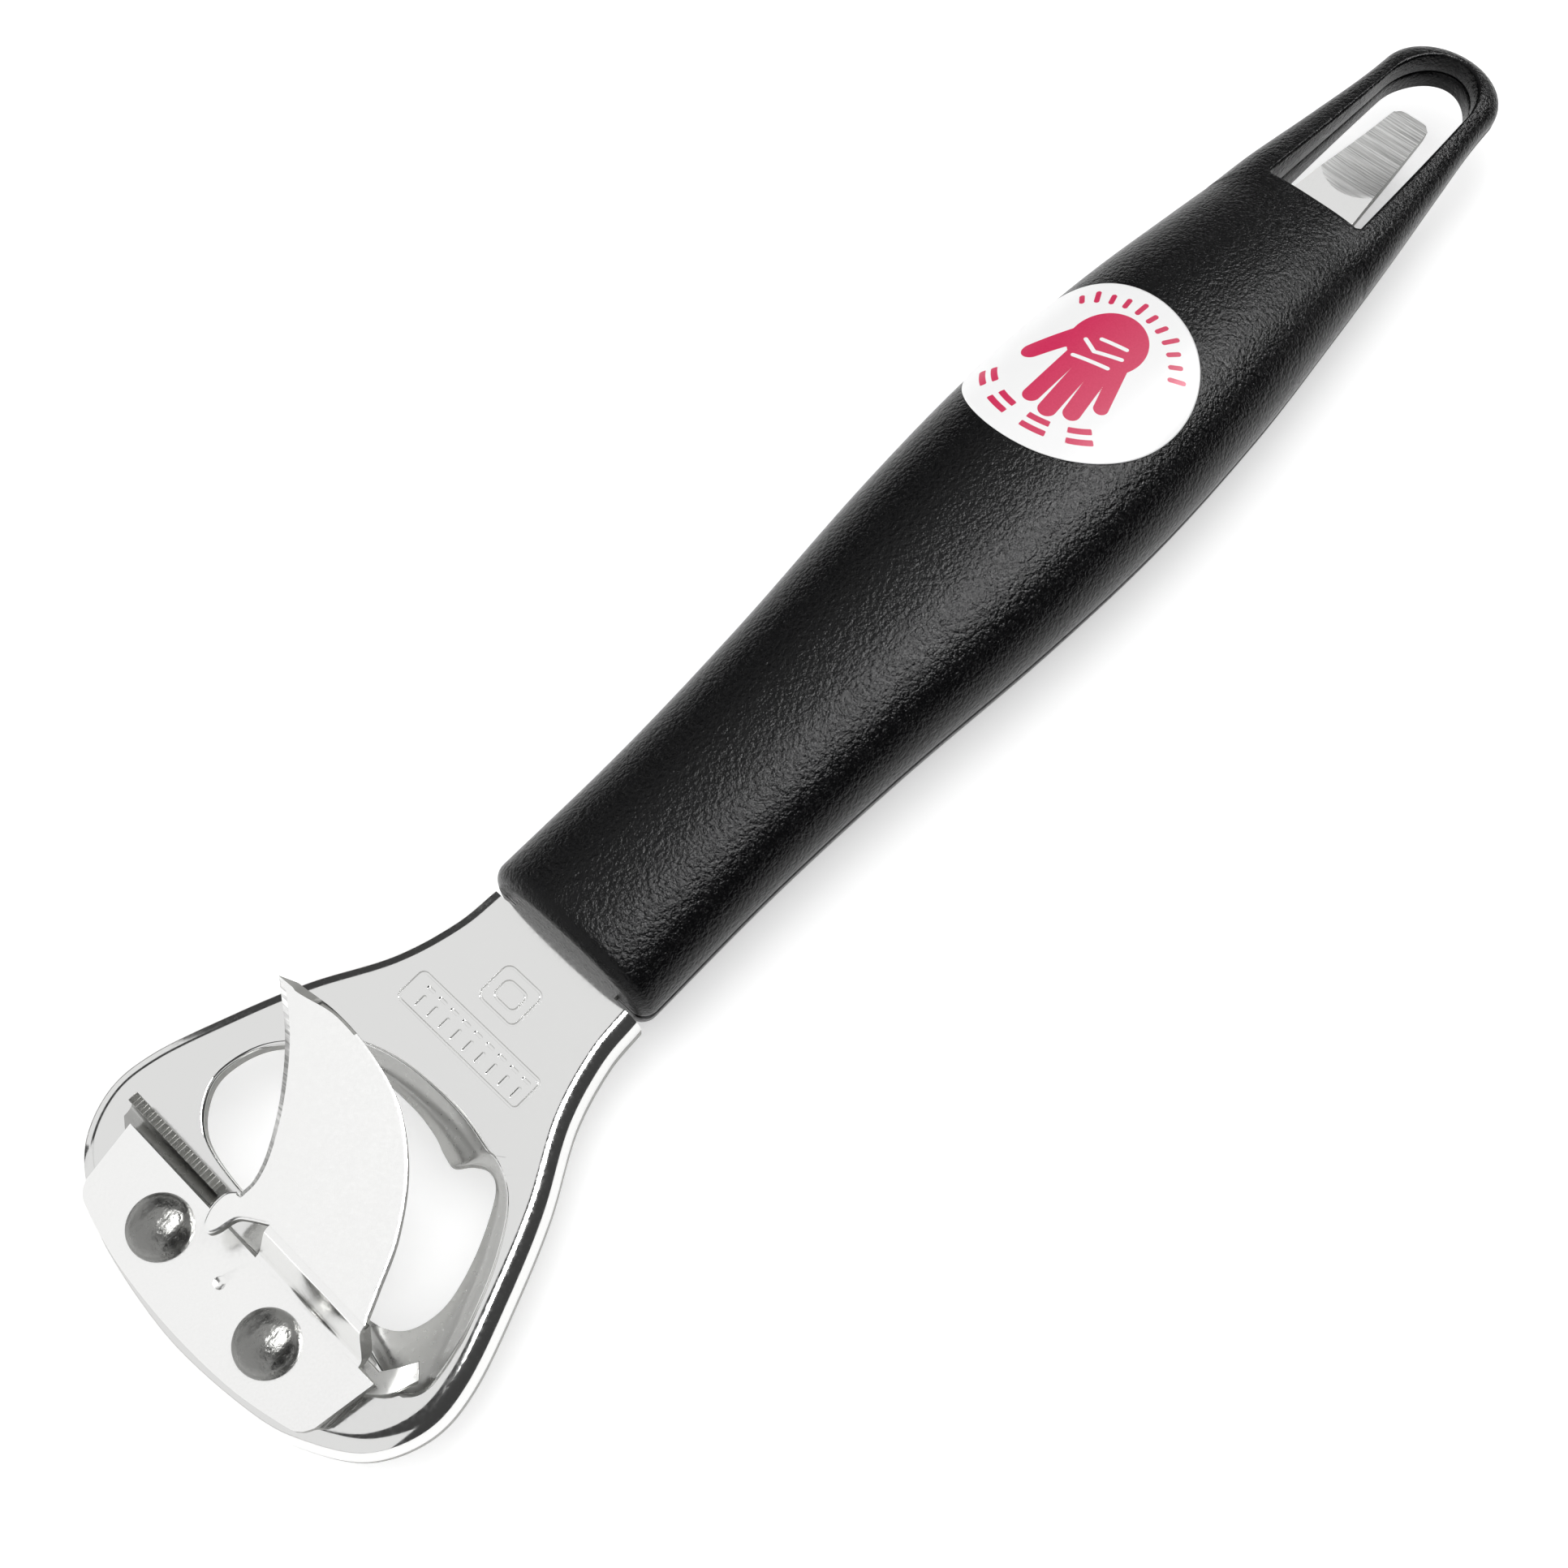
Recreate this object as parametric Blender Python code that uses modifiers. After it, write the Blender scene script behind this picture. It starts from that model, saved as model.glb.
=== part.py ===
"""A lever-type can opener for the left hand, as the separate pieces that it is made of.

One stamped steel plate is the head, the tang and the tab lifter. A toothed grip plate and a
folded blade are riveted on the head, and two moulded shells close round the tang.

Lengths are in millimetres until world() turns them to metres. A station x runs from the head's
end to the tip of the hanging loop, y is to the left of that, and z is 0 on the plate's top face.
"""

import math

import bmesh
import bpy
import numpy as np

MM = 0.001

# Whole tool
OVERALL_LENGTH = 200.0
PLATE_HEIGHT = 8.6  # the plate's top face above the ground
GAP = 0.25  # left between pieces that touch

# Stamped plate: head, tang and lifter
PLATE_THICKNESS = 1.4
RIM_RADIUS = 2.2
RIM_DEPTH = 3.6
HEAD_LENGTH = 47.7
HEAD_HALF = [  # station and half-width of the head, from its end to its shoulder
    (0.0, 0.0),
    (0.9, 9.2),
    (2.5, 14.2),
    (5.6, 19.0),
    (10.4, 21.5),
    (15.6, 21.3),
    (23.0, 18.8),
    (30.0, 15.9),
    (37.0, 12.1),
    (43.0, 10.3),
    (HEAD_LENGTH, 9.9),
]
TANG_HALF_WIDTH = 6.5
TANG_TAPER_START = 143.0
LIFTER_TIP = 189.4
LIFTER_TIP_HALF_WIDTH = 2.3
LIFTER_CORNER = 0.8
BEVEL_START = 174.4
LIFTER_EDGE = 0.5  # thickness left at the ground tip

# Window of the head
WINDOW_CENTRE = (20.0, -1.0)
WINDOW_FLAT = [  # where the flat face ends
    (12.3, 0.0),
    (12.3, 6.0),
    (13.2, 11.2),
    (15.6, 14.2),
    (18.8, 15.2),
    (23.4, 14.1),
    (27.4, 10.6),
    (30.2, 5.0),
    (31.1, -1.0),
    (30.8, -6.8),
    (28.9, -12.0),
    (24.4, -15.4),
    (18.6, -17.9),
    (14.4, -19.1),
    (11.8, -19.0),
    (10.9, -17.2),
    (11.5, -13.0),
    (12.2, -6.5),
]
WINDOW_EDGE = [  # where the sheet ends, with the crown-cap tooth on the handle side
    (13.1, 0.0),
    (13.1, 6.0),
    (13.9, 10.8),
    (16.0, 13.4),
    (18.8, 14.4),
    (22.8, 13.3),
    (26.0, 10.0),
    (28.1, 5.2),
    (28.5, 0.6),
    (28.1, -2.8),
    (27.4, -5.0),
    (27.3, -6.3),
    (28.5, -7.4),
    (29.2, -8.8),
    (28.5, -10.5),
    (26.0, -12.1),
    (22.6, -13.6),
    (19.0, -14.5),
    (16.2, -14.2),
    (14.3, -13.0),
    (13.3, -10.6),
    (13.1, -6.0),
]
FUNNEL_DEPTH = 2.4
FUNNEL_PROFILE = [  # share of the way in to the edge, share of the depth
    (0.0, 0.0),
    (0.1, 0.06),
    (0.22, 0.24),
    (0.42, 0.56),
    (0.7, 0.86),
    (1.0, 1.0),
]
CUT_ROLL = 0.25  # depth of the rolled edge where the window is only cut
PANEL = (34.6, 43.4, 5.6)  # stations and half-width of the recessed marking panel
PANEL_DEPTH = 0.25

# Rivets
RIVET_STATION = 6.3
RIVET_Y = 6.9
RIVET_SHANK = 1.7
RIVET_HOLE = RIVET_SHANK + GAP
RIVET_HEAD = 2.9
RIVET_DOME = 2.1
RIVET_TAIL = 2.6
RIVET_TAIL_HEIGHT = 0.7

# Toothed grip plate
GRIP_THICKNESS = 1.0
GRIP_TOP = GAP + GRIP_THICKNESS
GRIP_EDGE = 10.2
GRIP_OUTLINE = [  # from the ledge's end round the head's end to the wing
    (8.8, 15.2),
    (3.4, 13.2),
    (2.3, 7.0),
    (1.9, 0.0),
    (2.3, -7.0),
    (3.4, -13.2),
    (5.0, -15.0),
]
LEDGE_STATION = 11.4
LEDGE_HEIGHT = 3.4
LEDGE_FROM = 5.6
LEDGE_TO = 17.2
LEDGE_TEETH = 12
TOOTH_DEPTH = 0.45
WING = [  # station, y and height of the corners across the wing, from its root to its tip
    [(11.1, -15.0, GRIP_TOP), (8.8, -15.0, GRIP_TOP)],
    [(12.6, -16.0, GRIP_TOP - 0.1), (10.4, -16.9, GRIP_TOP)],
    [(14.0, -16.7, 0.55), (12.9, -17.9, 0.9)],
]

# Blade: strip, riser and hooked cutter in one folded sheet
BLADE_THICKNESS = 1.2
STRIP_TOP = GRIP_TOP + GAP + BLADE_THICKNESS
BLADE_TOP = 6.8
STRIP_HALF = [(1.5, 0.0), (1.9, 7.2), (3.0, 12.6), (3.6, 14.0), (4.6, 14.7)]
FOLD_STATION = 10.2
STRIP_CORNER = (FOLD_STATION, 15.7)
RISER_FROM = -0.9
RISER_TO = -13.8
RISER_PATH = [(0.0, 0.0), (0.45, 0.25), (0.8, 0.9), (1.7, 3.1), (2.1, 3.75), (2.7, 4.0)]
CUTTING_EDGE = [
    (27.7, 15.2),
    (24.4, 10.6),
    (20.6, 6.9),
    (17.0, 4.3),
    (14.6, 3.2),
    (12.9, 3.1),
]
NOSE = [(12.0, 3.8), (10.5, 3.8), (9.2, 3.2), (8.9, 2.4), (9.6, 1.9), (11.2, 1.5), (12.0, 0.6)]
BACK_EDGE = [
    (15.4, -11.4),
    (19.6, -9.3),
    (24.0, -5.7),
    (27.2, -1.0),
    (28.6, 4.2),
    (28.9, 8.8),
    (28.4, 13.4),
]
GRIND = 0.6  # width of the ground bevel on the cutting edge
EDGE_THICKNESS = 0.25

# Handle shells
HANDLE_FRONT = 48.0
PARTING = -PLATE_THICKNESS / 2
FRONT_ROUND = 1.6
HANDLE_STATIONS = [  # station, half-width, rise above the parting plane, drop below it
    (48.0, 10.1, 6.6, 7.3),
    (66.0, 10.2, 7.2, 7.9),
    (84.0, 11.2, 8.0, 7.9),
    (104.0, 13.0, 8.8, 7.9),
    (122.0, 13.8, 9.2, 7.9),
    (140.0, 13.2, 8.6, 7.9),
    (155.0, 11.8, 7.0, 7.2),
    (168.0, 10.4, 5.1, 5.5),
    (180.0, 8.9, 3.8, 4.0),
    (190.0, 7.7, 3.3, 3.2),
    (200.0, 7.2, 3.0, 2.9),
]
TIP_ROUND = 6.4
SECTION_POWER = 2.35
REST_FLAT = 2.6  # half-width of the flat land that the tool lies on
WALL = 2.4
RIBS = [54.0, 72.0, 90.0, 108.0, 126.0, 144.0, 162.0]
RIB = 1.8
PEGS = [67.0, 119.0]
PEG_RADIUS = 2.0
PEG_HOLE = PEG_RADIUS + GAP
BOSS_RADIUS = 3.6
PEG_LENGTH = 3.6
LOOP_HOLE = [(166.1, 6.1), (179.0, 5.8), (190.0, 5.2)]
LOOP_END = 197.7

# Round label
LABEL_STATION = 127.7
LABEL_ARC = 3.9  # distance of its centre from the crest, round the handle
LABEL_RADIUS = 12.5
LABEL_THICKNESS = 0.25


def world(x, y, z):
    return ((x - OVERALL_LENGTH / 2) * MM, y * MM, (z + PLATE_HEIGHT) * MM)


def clear_scene():
    for obj in list(bpy.data.objects):
        bpy.data.objects.remove(obj, do_unlink=True)


def make_collection(name, hidden=False):
    group = bpy.data.collections.new(name)
    bpy.context.scene.collection.children.link(group)
    group.hide_render = hidden
    return group


def make_material(name, colour, roughness, metallic):
    material = bpy.data.materials.new(name)
    material.use_nodes = True
    shader = material.node_tree.nodes["Principled BSDF"]
    shader.inputs["Base Color"].default_value = (*colour, 1.0)
    shader.inputs["Roughness"].default_value = roughness
    shader.inputs["Metallic"].default_value = metallic
    return material


def spline(points, steps, closed=False):
    """Points along a smooth curve through the given ones, with steps between neighbours."""
    knots = [np.array(point, float) for point in points]
    count = len(knots)
    spans = count if closed else count - 1
    curve = []
    for i in range(spans):
        if closed:
            a, b, c, d = (knots[(i + k) % count] for k in (-1, 0, 1, 2))
        else:
            b, c = knots[i], knots[i + 1]
            a = knots[i - 1] if i else 2 * b - c
            d = knots[i + 2] if i + 2 < count else 2 * c - b
        for step in range(steps):
            t = step / steps
            point = 2 * b + (c - a) * t + (2 * a - 5 * b + 4 * c - d) * t**2
            curve.append((point + (3 * b - a - 3 * c + d) * t**3) / 2)
    if not closed:
        curve.append(knots[-1])
    return curve


def inset(points, distances, closed=False):
    """The points moved to the left of their direction of travel."""
    moved = []
    count = len(points)
    for i, point in enumerate(points):
        before = points[i - 1] if closed or i else point
        after = points[(i + 1) % count] if closed or i + 1 < count else point
        along = (after - before) / np.linalg.norm(after - before)
        moved.append(point + distances[i] * np.array((-along[1], along[0])))
    return moved


def circle(x, y, radius, sides=20):
    """A ring of points with none on the tool's axis, where the shells have an edge."""
    turns = [2 * math.pi * (i + 0.5) / sides for i in range(sides)]
    return [np.array((x + radius * math.cos(a), y + radius * math.sin(a))) for a in turns]


def add_verts(bm, points, z):
    heights = z if isinstance(z, (list, tuple)) else [z] * len(points)
    return [bm.verts.new(world(p[0], p[1], h)) for p, h in zip(points, heights)]


def join_loops(bm, upper, lower, closed=False):
    """Quads between two rows of vertices of the same length."""
    count = len(upper)
    for i in range(count if closed else count - 1):
        j = (i + 1) % count
        bm.faces.new((upper[i], upper[j], lower[j], lower[i]))


def fill_between(bm, loops):
    """Faces over the flat region inside the first loop and outside the others."""
    edges = []
    for loop in loops:
        for i, vert in enumerate(loop):
            pair = (vert, loop[(i + 1) % len(loop)])
            edges.append(bm.edges.get(pair) or bm.edges.new(pair))
    bmesh.ops.triangle_fill(bm, use_beauty=True, use_dissolve=False, edges=edges)


def sheet_object(name, bm, thickness, material, group, thin=(), thin_share=1.0):
    """An open surface made a sheet. The thin vertices keep only a share of its thickness."""
    bmesh.ops.recalc_face_normals(bm, faces=bm.faces)
    highest = max(bm.faces, key=lambda face: face.calc_area())
    highest.normal_update()
    if highest.normal.z < 0:
        bmesh.ops.reverse_faces(bm, faces=bm.faces)
    bm.verts.index_update()
    thin_indices = {vert.index for vert in thin}
    obj = mesh_object(name, bm, material, group)
    full = obj.vertex_groups.new(name="full_thickness")
    full.add([v.index for v in obj.data.vertices if v.index not in thin_indices], 1.0, "ADD")
    solid = obj.modifiers.new("sheet", "SOLIDIFY")
    solid.thickness = thickness * MM
    solid.offset = -1
    solid.use_even_offset = True
    solid.vertex_group = full.name
    solid.thickness_vertex_group = thin_share
    return obj


def mesh_object(name, bm, material, group, sharp=35.0):
    mesh = bpy.data.meshes.new(name)
    bm.to_mesh(mesh)
    bm.free()
    mesh.shade_smooth()
    mesh.set_sharp_from_angle(angle=math.radians(sharp))
    if material:
        mesh.materials.append(material)
    obj = bpy.data.objects.new(name, mesh)
    group.objects.link(obj)
    return obj


def cut(obj, cutter, operation="DIFFERENCE"):
    cutter.display_type = "WIRE"
    cutter.hide_render = True
    boolean = obj.modifiers.new(cutter.name, "BOOLEAN")
    boolean.operation = operation
    boolean.solver = "EXACT"
    boolean.object = cutter


def head_outline():
    half = [(x, y) for x, y in reversed(HEAD_HALF)]
    other = [(x, -y) for x, y in HEAD_HALF[1:]]
    return spline(half + other, 4)


def tang_outline():
    """From the right shoulder to the bevel's start. Mirroring gives the left side."""
    slope = (TANG_HALF_WIDTH - LIFTER_TIP_HALF_WIDTH) / (LIFTER_TIP - TANG_TAPER_START)
    at_bevel = TANG_HALF_WIDTH - slope * (BEVEL_START - TANG_TAPER_START)
    return [
        (HEAD_LENGTH, TANG_HALF_WIDTH),
        (TANG_TAPER_START, TANG_HALF_WIDTH),
        (BEVEL_START, at_bevel),
    ]


def funnel_share(angle):
    """1 where the window's edge is drawn down, 0 where it is only cut."""
    middle, half_span, blend = math.radians(-38), math.radians(82), math.radians(22)
    away = abs((angle - middle + math.pi) % (2 * math.pi) - math.pi)
    share = min(max((half_span + blend - away) / blend, 0.0), 1.0)
    return share * share * (3 - 2 * share)


def window_loops():
    """Rings of (points, heights) from the flat face down to the window's edge."""
    centre = np.array(WINDOW_CENTRE)
    edge = spline(WINDOW_EDGE, 3, closed=True)
    flat = spline(WINDOW_FLAT, 6, closed=True)
    bearing = [math.atan2(*(p - centre)[::-1]) for p in flat]
    reach = [np.linalg.norm(p - centre) for p in flat]
    order = np.argsort(bearing)
    bearing = np.array(bearing)[order]
    reach = np.array(reach)[order]
    rings = []
    for inward, down in FUNNEL_PROFILE:
        points = []
        heights = []
        for point in edge:
            offset = point - centre
            angle = math.atan2(offset[1], offset[0])
            radius = np.interp(angle, bearing, reach, period=2 * math.pi)
            start = centre + offset / np.linalg.norm(offset) * radius
            share = funnel_share(angle)
            depth = CUT_ROLL + (FUNNEL_DEPTH - CUT_ROLL) * share
            points.append(start + (point - start) * inward)
            heights.append(-depth * (share * down + (1 - share) * inward**2))
        rings.append((points, heights))
    return rings


def panel_loop(grow):
    start, end, half = PANEL
    corners = [(start, half), (start, -half), (end, -half), (end, half)]
    middle = (start + end) / 2
    return [
        np.array((x + math.copysign(grow, x - middle), y + math.copysign(grow, y)))
        for x, y in corners
    ]


def head_plate(material, group):
    """The stamped plate: head with its turned-down rim and window, tang and ground lifter."""
    bm = bmesh.new()
    outline = head_outline()
    rings = []
    for degrees in (0, 18, 36, 54, 72, 90):
        turn = math.radians(degrees)
        gap = RIM_RADIUS * (1 - math.sin(turn))
        ring = inset(outline, [gap] * len(outline))
        rings.append(add_verts(bm, ring, -RIM_RADIUS * (1 - math.cos(turn))))
    rings.append(add_verts(bm, outline, -RIM_DEPTH))
    for upper, lower in zip(rings, rings[1:]):
        join_loops(bm, upper, lower)

    side = tang_outline()
    right = add_verts(bm, [(x, -y) for x, y in side], 0.0)
    left = add_verts(bm, [(x, y) for x, y in reversed(side)], 0.0)
    half, corner = LIFTER_TIP_HALF_WIDTH, LIFTER_CORNER
    tip = [
        (LIFTER_TIP - corner, -half),
        (LIFTER_TIP - corner * 0.3, -half + corner * 0.3),
        (LIFTER_TIP, -half + corner),
        (LIFTER_TIP, half - corner),
        (LIFTER_TIP - corner * 0.3, half - corner * 0.3),
        (LIFTER_TIP - corner, half),
    ]
    tip_verts = add_verts(bm, tip, LIFTER_EDGE - PLATE_THICKNESS)
    bm.faces.new([left[0], right[-1], *tip_verts])

    window = [add_verts(bm, points, heights) for points, heights in window_loops()]
    for upper, lower in zip(window, window[1:]):
        join_loops(bm, upper, lower, closed=True)
    panel_top = add_verts(bm, panel_loop(PANEL_DEPTH), 0.0)
    panel_floor = add_verts(bm, panel_loop(0.0), -PANEL_DEPTH)
    join_loops(bm, panel_top, panel_floor, closed=True)
    bm.faces.new(panel_floor)
    rivets = [circle(RIVET_STATION, y, RIVET_HOLE) for y in (RIVET_Y, -RIVET_Y)]
    pegs = [circle(x, 0.0, PEG_HOLE) for x in PEGS]
    holes = [add_verts(bm, loop, 0.0) for loop in rivets + pegs]
    fill_between(bm, [rings[0] + right + left, window[0], panel_top, *holes])
    share = LIFTER_EDGE / PLATE_THICKNESS
    return sheet_object("head_plate", bm, PLATE_THICKNESS, material, group, tip_verts, share)


def strip_outline():
    """The blade's riveted strip without its fold, from the left corner round the head's end."""
    left = [STRIP_CORNER, *reversed(STRIP_HALF)]
    right = [(x, -y) for x, y in STRIP_HALF[1:]] + [(STRIP_CORNER[0], -STRIP_CORNER[1])]
    corner = [np.array(STRIP_CORNER)]
    middle = spline(left[1:] + right[:-1], 3)
    return corner + middle + [np.array(right[-1])]


def blade_free_edge():
    """From the riser's left end, round the nose, the cutting edge, the tip and the back."""
    start = (FOLD_STATION + RISER_PATH[-1][0], RISER_FROM)
    end = (FOLD_STATION + RISER_PATH[-1][0], RISER_TO + 1.2)
    nose = spline([start, *reversed(NOSE), CUTTING_EDGE[-1]], 3)
    cutting = spline(list(reversed(CUTTING_EDGE)), 4)
    back = spline([*reversed(BACK_EDGE), end], 3)
    points = nose[:-1] + cutting + back
    first_cut = len(nose) - 1
    return points, range(first_cut, first_cut + len(cutting))


def blade(material, group):
    """The folded blade: riveted strip, riser and hooked cutter with its ground edge."""
    bm = bmesh.new()
    edge, ground = blade_free_edge()
    widths = [GRIND if i in ground else 0.2 for i in range(len(edge))]
    widths[0] = widths[-1] = 0.0
    inner = inset(edge, [-width for width in widths])
    start, end = edge[0], edge[-1]
    inner[0] = start + np.array((0.0, -0.2))
    inner[-1] = end + np.array((0.0, 0.2))
    drops = [BLADE_THICKNESS - EDGE_THICKNESS if i in ground else 0.1 for i in range(len(edge))]
    outer_verts = add_verts(bm, edge, [BLADE_TOP - drop for drop in drops])
    inner_verts = add_verts(bm, inner, BLADE_TOP)
    join_loops(bm, outer_verts, inner_verts)
    bm.faces.new(inner_verts)

    upper = [outer_verts[0], inner_verts[0], inner_verts[-1], outer_verts[-1]]
    columns = [RISER_FROM, RISER_FROM - 0.2, RISER_TO + 0.2, RISER_TO]
    rise = (BLADE_TOP - STRIP_TOP) / RISER_PATH[-1][1]
    for across, height in reversed(RISER_PATH[:-1]):
        flare = 1.2 * (1 - height / RISER_PATH[-1][1])
        ends = [0.0, 0.0, 1.2 - flare, 1.2 - flare]
        row = [(FOLD_STATION + across, y + end) for y, end in zip(columns, ends)]
        lower = add_verts(bm, row, STRIP_TOP + height * rise)
        join_loops(bm, upper, lower)
        upper = lower
    outline = add_verts(bm, strip_outline(), STRIP_TOP)
    holes = [circle(RIVET_STATION, y, RIVET_HOLE) for y in (RIVET_Y, -RIVET_Y)]
    hole_verts = [add_verts(bm, hole, STRIP_TOP) for hole in holes]
    fill_between(bm, [outline + list(reversed(upper)), *hole_verts])
    thin = [outer_verts[i] for i in ground]
    share = EDGE_THICKNESS / BLADE_THICKNESS
    return sheet_object("blade", bm, BLADE_THICKNESS, material, group, thin, share)


def grip_plate(material, group):
    """The sheet under the blade, with its toothed ledge and the wing that dips in the window."""
    bm = bmesh.new()
    edge = GRIP_EDGE
    bend = LEDGE_STATION - edge
    teeth = LEDGE_TEETH * 2 + 1
    ys = [LEDGE_TO + (LEDGE_FROM - LEDGE_TO) * i / (teeth - 1) for i in range(teeth)]
    rows = []
    for degrees in (0, 30, 60, 90):
        turn = math.radians(degrees)
        x = edge + bend * math.sin(turn)
        rows.append(add_verts(bm, [(x, y) for y in ys], GRIP_TOP + bend * (1 - math.cos(turn))))
    tops = [LEDGE_HEIGHT - TOOTH_DEPTH * (i % 2) for i in range(teeth)]
    rows.append(add_verts(bm, [(LEDGE_STATION, y) for y in ys], tops))
    for lower, upper in zip(rows, rows[1:]):
        join_loops(bm, lower, upper)

    wing = [add_verts(bm, row, [corner[2] for corner in row]) for row in WING]
    for near, far in zip(wing, wing[1:]):
        join_loops(bm, near, far)
    root = wing[0]

    outer = add_verts(bm, GRIP_OUTLINE, GRIP_TOP)
    inner = add_verts(bm, [(edge + 0.9, -12.0), (edge, 4.6)], GRIP_TOP)
    holes = [circle(RIVET_STATION, y, RIVET_HOLE) for y in (RIVET_Y, -RIVET_Y)]
    hole_verts = [add_verts(bm, hole, GRIP_TOP) for hole in holes]
    loop = outer + [root[1], root[0]] + inner + list(reversed(rows[0]))
    fill_between(bm, [loop, *hole_verts])
    return sheet_object("grip_plate", bm, GRIP_THICKNESS, material, group)


def rivet(name, y, material, group):
    """A domed rivet through the three sheets, as a turned profile."""
    tail = -PLATE_THICKNESS - GAP
    head = STRIP_TOP + GAP
    profile = []
    for i in range(7):
        turn = math.radians(90 * i / 6)
        profile.append((RIVET_HEAD * math.sin(turn), head + RIVET_DOME * math.cos(turn)))
    profile += [
        (RIVET_SHANK, head),
        (RIVET_SHANK, tail),
        (RIVET_TAIL, tail),
        (RIVET_TAIL - 0.3, tail - RIVET_TAIL_HEIGHT),
        (0.0, tail - RIVET_TAIL_HEIGHT),
    ]
    bm = bmesh.new()
    verts = [bm.verts.new((x * MM, 0.0, z * MM)) for x, z in profile]
    for upper, lower in zip(verts, verts[1:]):
        bm.edges.new((upper, lower))
    obj = mesh_object(name, bm, material, group)
    obj.location = world(RIVET_STATION, y, 0.0)
    turned = obj.modifiers.new("turned", "SCREW")
    turned.steps = turned.render_steps = 24
    turned.use_merge_vertices = True
    turned.merge_threshold = 0.00001
    turned.use_smooth_shade = True
    return obj


def handle_size(x):
    """Half-width, rise and drop of the handle at a station."""
    table = spline(HANDLE_STATIONS, 6)
    stations = [row[0] for row in table]
    size = np.array([np.interp(x, stations, [row[i] for row in table]) for i in (1, 2, 3)])
    tip = x - (OVERALL_LENGTH - TIP_ROUND)
    if tip > 0:
        size[0] *= math.sqrt(max(1 - (tip / TIP_ROUND) ** 2, 0.0))
    front = FRONT_ROUND - (x - HANDLE_FRONT)
    if front > 0:
        size -= FRONT_ROUND - math.sqrt(FRONT_ROUND**2 - front**2)
    size[2] = min(size[2], PLATE_HEIGHT + PARTING)
    return size


def section(x, shrink=0.0, upper=True, steps=16):
    """Half of the handle's cross-section, from +y over the crest, or under the belly, to -y."""
    width, rise, drop = handle_size(x) - shrink
    height = rise if upper else -drop
    points = []
    for i in range(steps + 1):
        turn = math.pi * i / steps
        across = math.copysign(abs(math.cos(turn)) ** (2 / SECTION_POWER), math.cos(turn))
        up = abs(math.sin(turn)) ** (2 / SECTION_POWER)
        points.append((width * across, height * up))
    return points


def outer_section(x, upper):
    """The section with the flat land along the belly, which the tool lies on."""
    points = section(x, upper=upper)
    middle = len(points) // 2
    if not upper and points[0][0] > 2 * REST_FLAT:
        for place in (-1, 0, 1):
            points[middle + place] = (-place * REST_FLAT, points[middle][1])
    return points


def shell_body(name, upper, material, group):
    """A half of the handle: lofted sections closed by the parting plane."""
    bm = bmesh.new()
    side = 1 if upper else -1
    floor = PARTING + side * GAP / 2
    front = [HANDLE_FRONT + FRONT_ROUND * t for t in (0.0, 0.12, 0.45, 1.0)]
    body = [54.0, 60.0, 66.0, 75.0, 84.0, 94.0, 104.0, 113.0, 122.0, 131.0, 140.0]
    body += [147.0, 154.0, 161.0, 168.0, 174.0, 180.0, 186.0, 190.0]
    tip_start = OVERALL_LENGTH - TIP_ROUND
    tip = [tip_start + TIP_ROUND * math.sin(math.radians(a)) for a in (0, 20, 38, 54, 68, 80)]
    rows = []
    for x in front + body + tip:
        points = outer_section(x, upper)
        heights = [PARTING + z if abs(z) > GAP / 2 else floor for _, z in points]
        rows.append(add_verts(bm, [(x, y) for y, _ in points], heights))
    for left, right in zip(rows, rows[1:]):
        join_loops(bm, left, right)
        bm.faces.new((left[0], left[-1], right[-1], right[0]))
    bm.faces.new(rows[0])
    bm.faces.new(list(reversed(rows[-1])))
    bmesh.ops.recalc_face_normals(bm, faces=bm.faces)
    return mesh_object(name, bm, material, group)


def loft_cutter(name, rows, group):
    """A closed cutter from rows of world points of equal length."""
    bm = bmesh.new()
    verts = [[bm.verts.new(point) for point in row] for row in rows]
    for left, right in zip(verts, verts[1:]):
        join_loops(bm, left, right, closed=True)
    bm.faces.new(verts[0])
    bm.faces.new(list(reversed(verts[-1])))
    bmesh.ops.recalc_face_normals(bm, faces=bm.faces)
    return mesh_object(name, bm, None, group)


def pocket_cutter(name, start, end, upper, group):
    """The hollow between two ribs, a wall's thickness inside the shell."""
    side = 1 if upper else -1
    rows = []
    for x in np.linspace(start, end, 4):
        points = section(x, shrink=WALL, upper=upper, steps=8)
        mouth = PARTING - side * 1.0
        row = [world(x, y, PARTING + z) for y, z in points]
        row += [world(x, points[-1][0], mouth), world(x, points[0][0], mouth)]
        rows.append(row)
    return loft_cutter(name, rows, group)


def slab_cutter(name, outline, low, high, group):
    """A vertical prism over an outline."""
    rows = [[world(p[0], p[1], z) for p in outline] for z in (low, high)]
    return loft_cutter(name, rows, group)


def tang_cutter(name, low, high, group):
    side = [(HANDLE_FRONT - 2.0, TANG_HALF_WIDTH + GAP)]
    side += [(x, y + GAP) for x, y in tang_outline()[1:]]
    outline = [(x, y) for x, y in side] + [(x, -y) for x, y in reversed(side)]
    return slab_cutter(name, outline, low, high, group)


def loop_cutter(group):
    side = spline(LOOP_HOLE, 3)
    last_x, last_y = side[-1]
    for i in range(1, 7):
        turn = math.radians(15 * i)
        x = last_x + (LOOP_END - last_x) * math.sin(turn)
        side.append(np.array((x, last_y * math.cos(turn))))
    side[-1][1] = 0.0
    outline = [tuple(p) for p in side] + [(p[0], -p[1]) for p in reversed(side[:-1])]
    return slab_cutter("loop_hole", outline, -20.0, 20.0, group)


def mid_wall(x, upper):
    """Height of the middle of the shell's wall, over or under the tool's axis."""
    _, rise, drop = handle_size(x)
    return PARTING + (rise - WALL / 2 if upper else WALL / 2 - drop)


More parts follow.
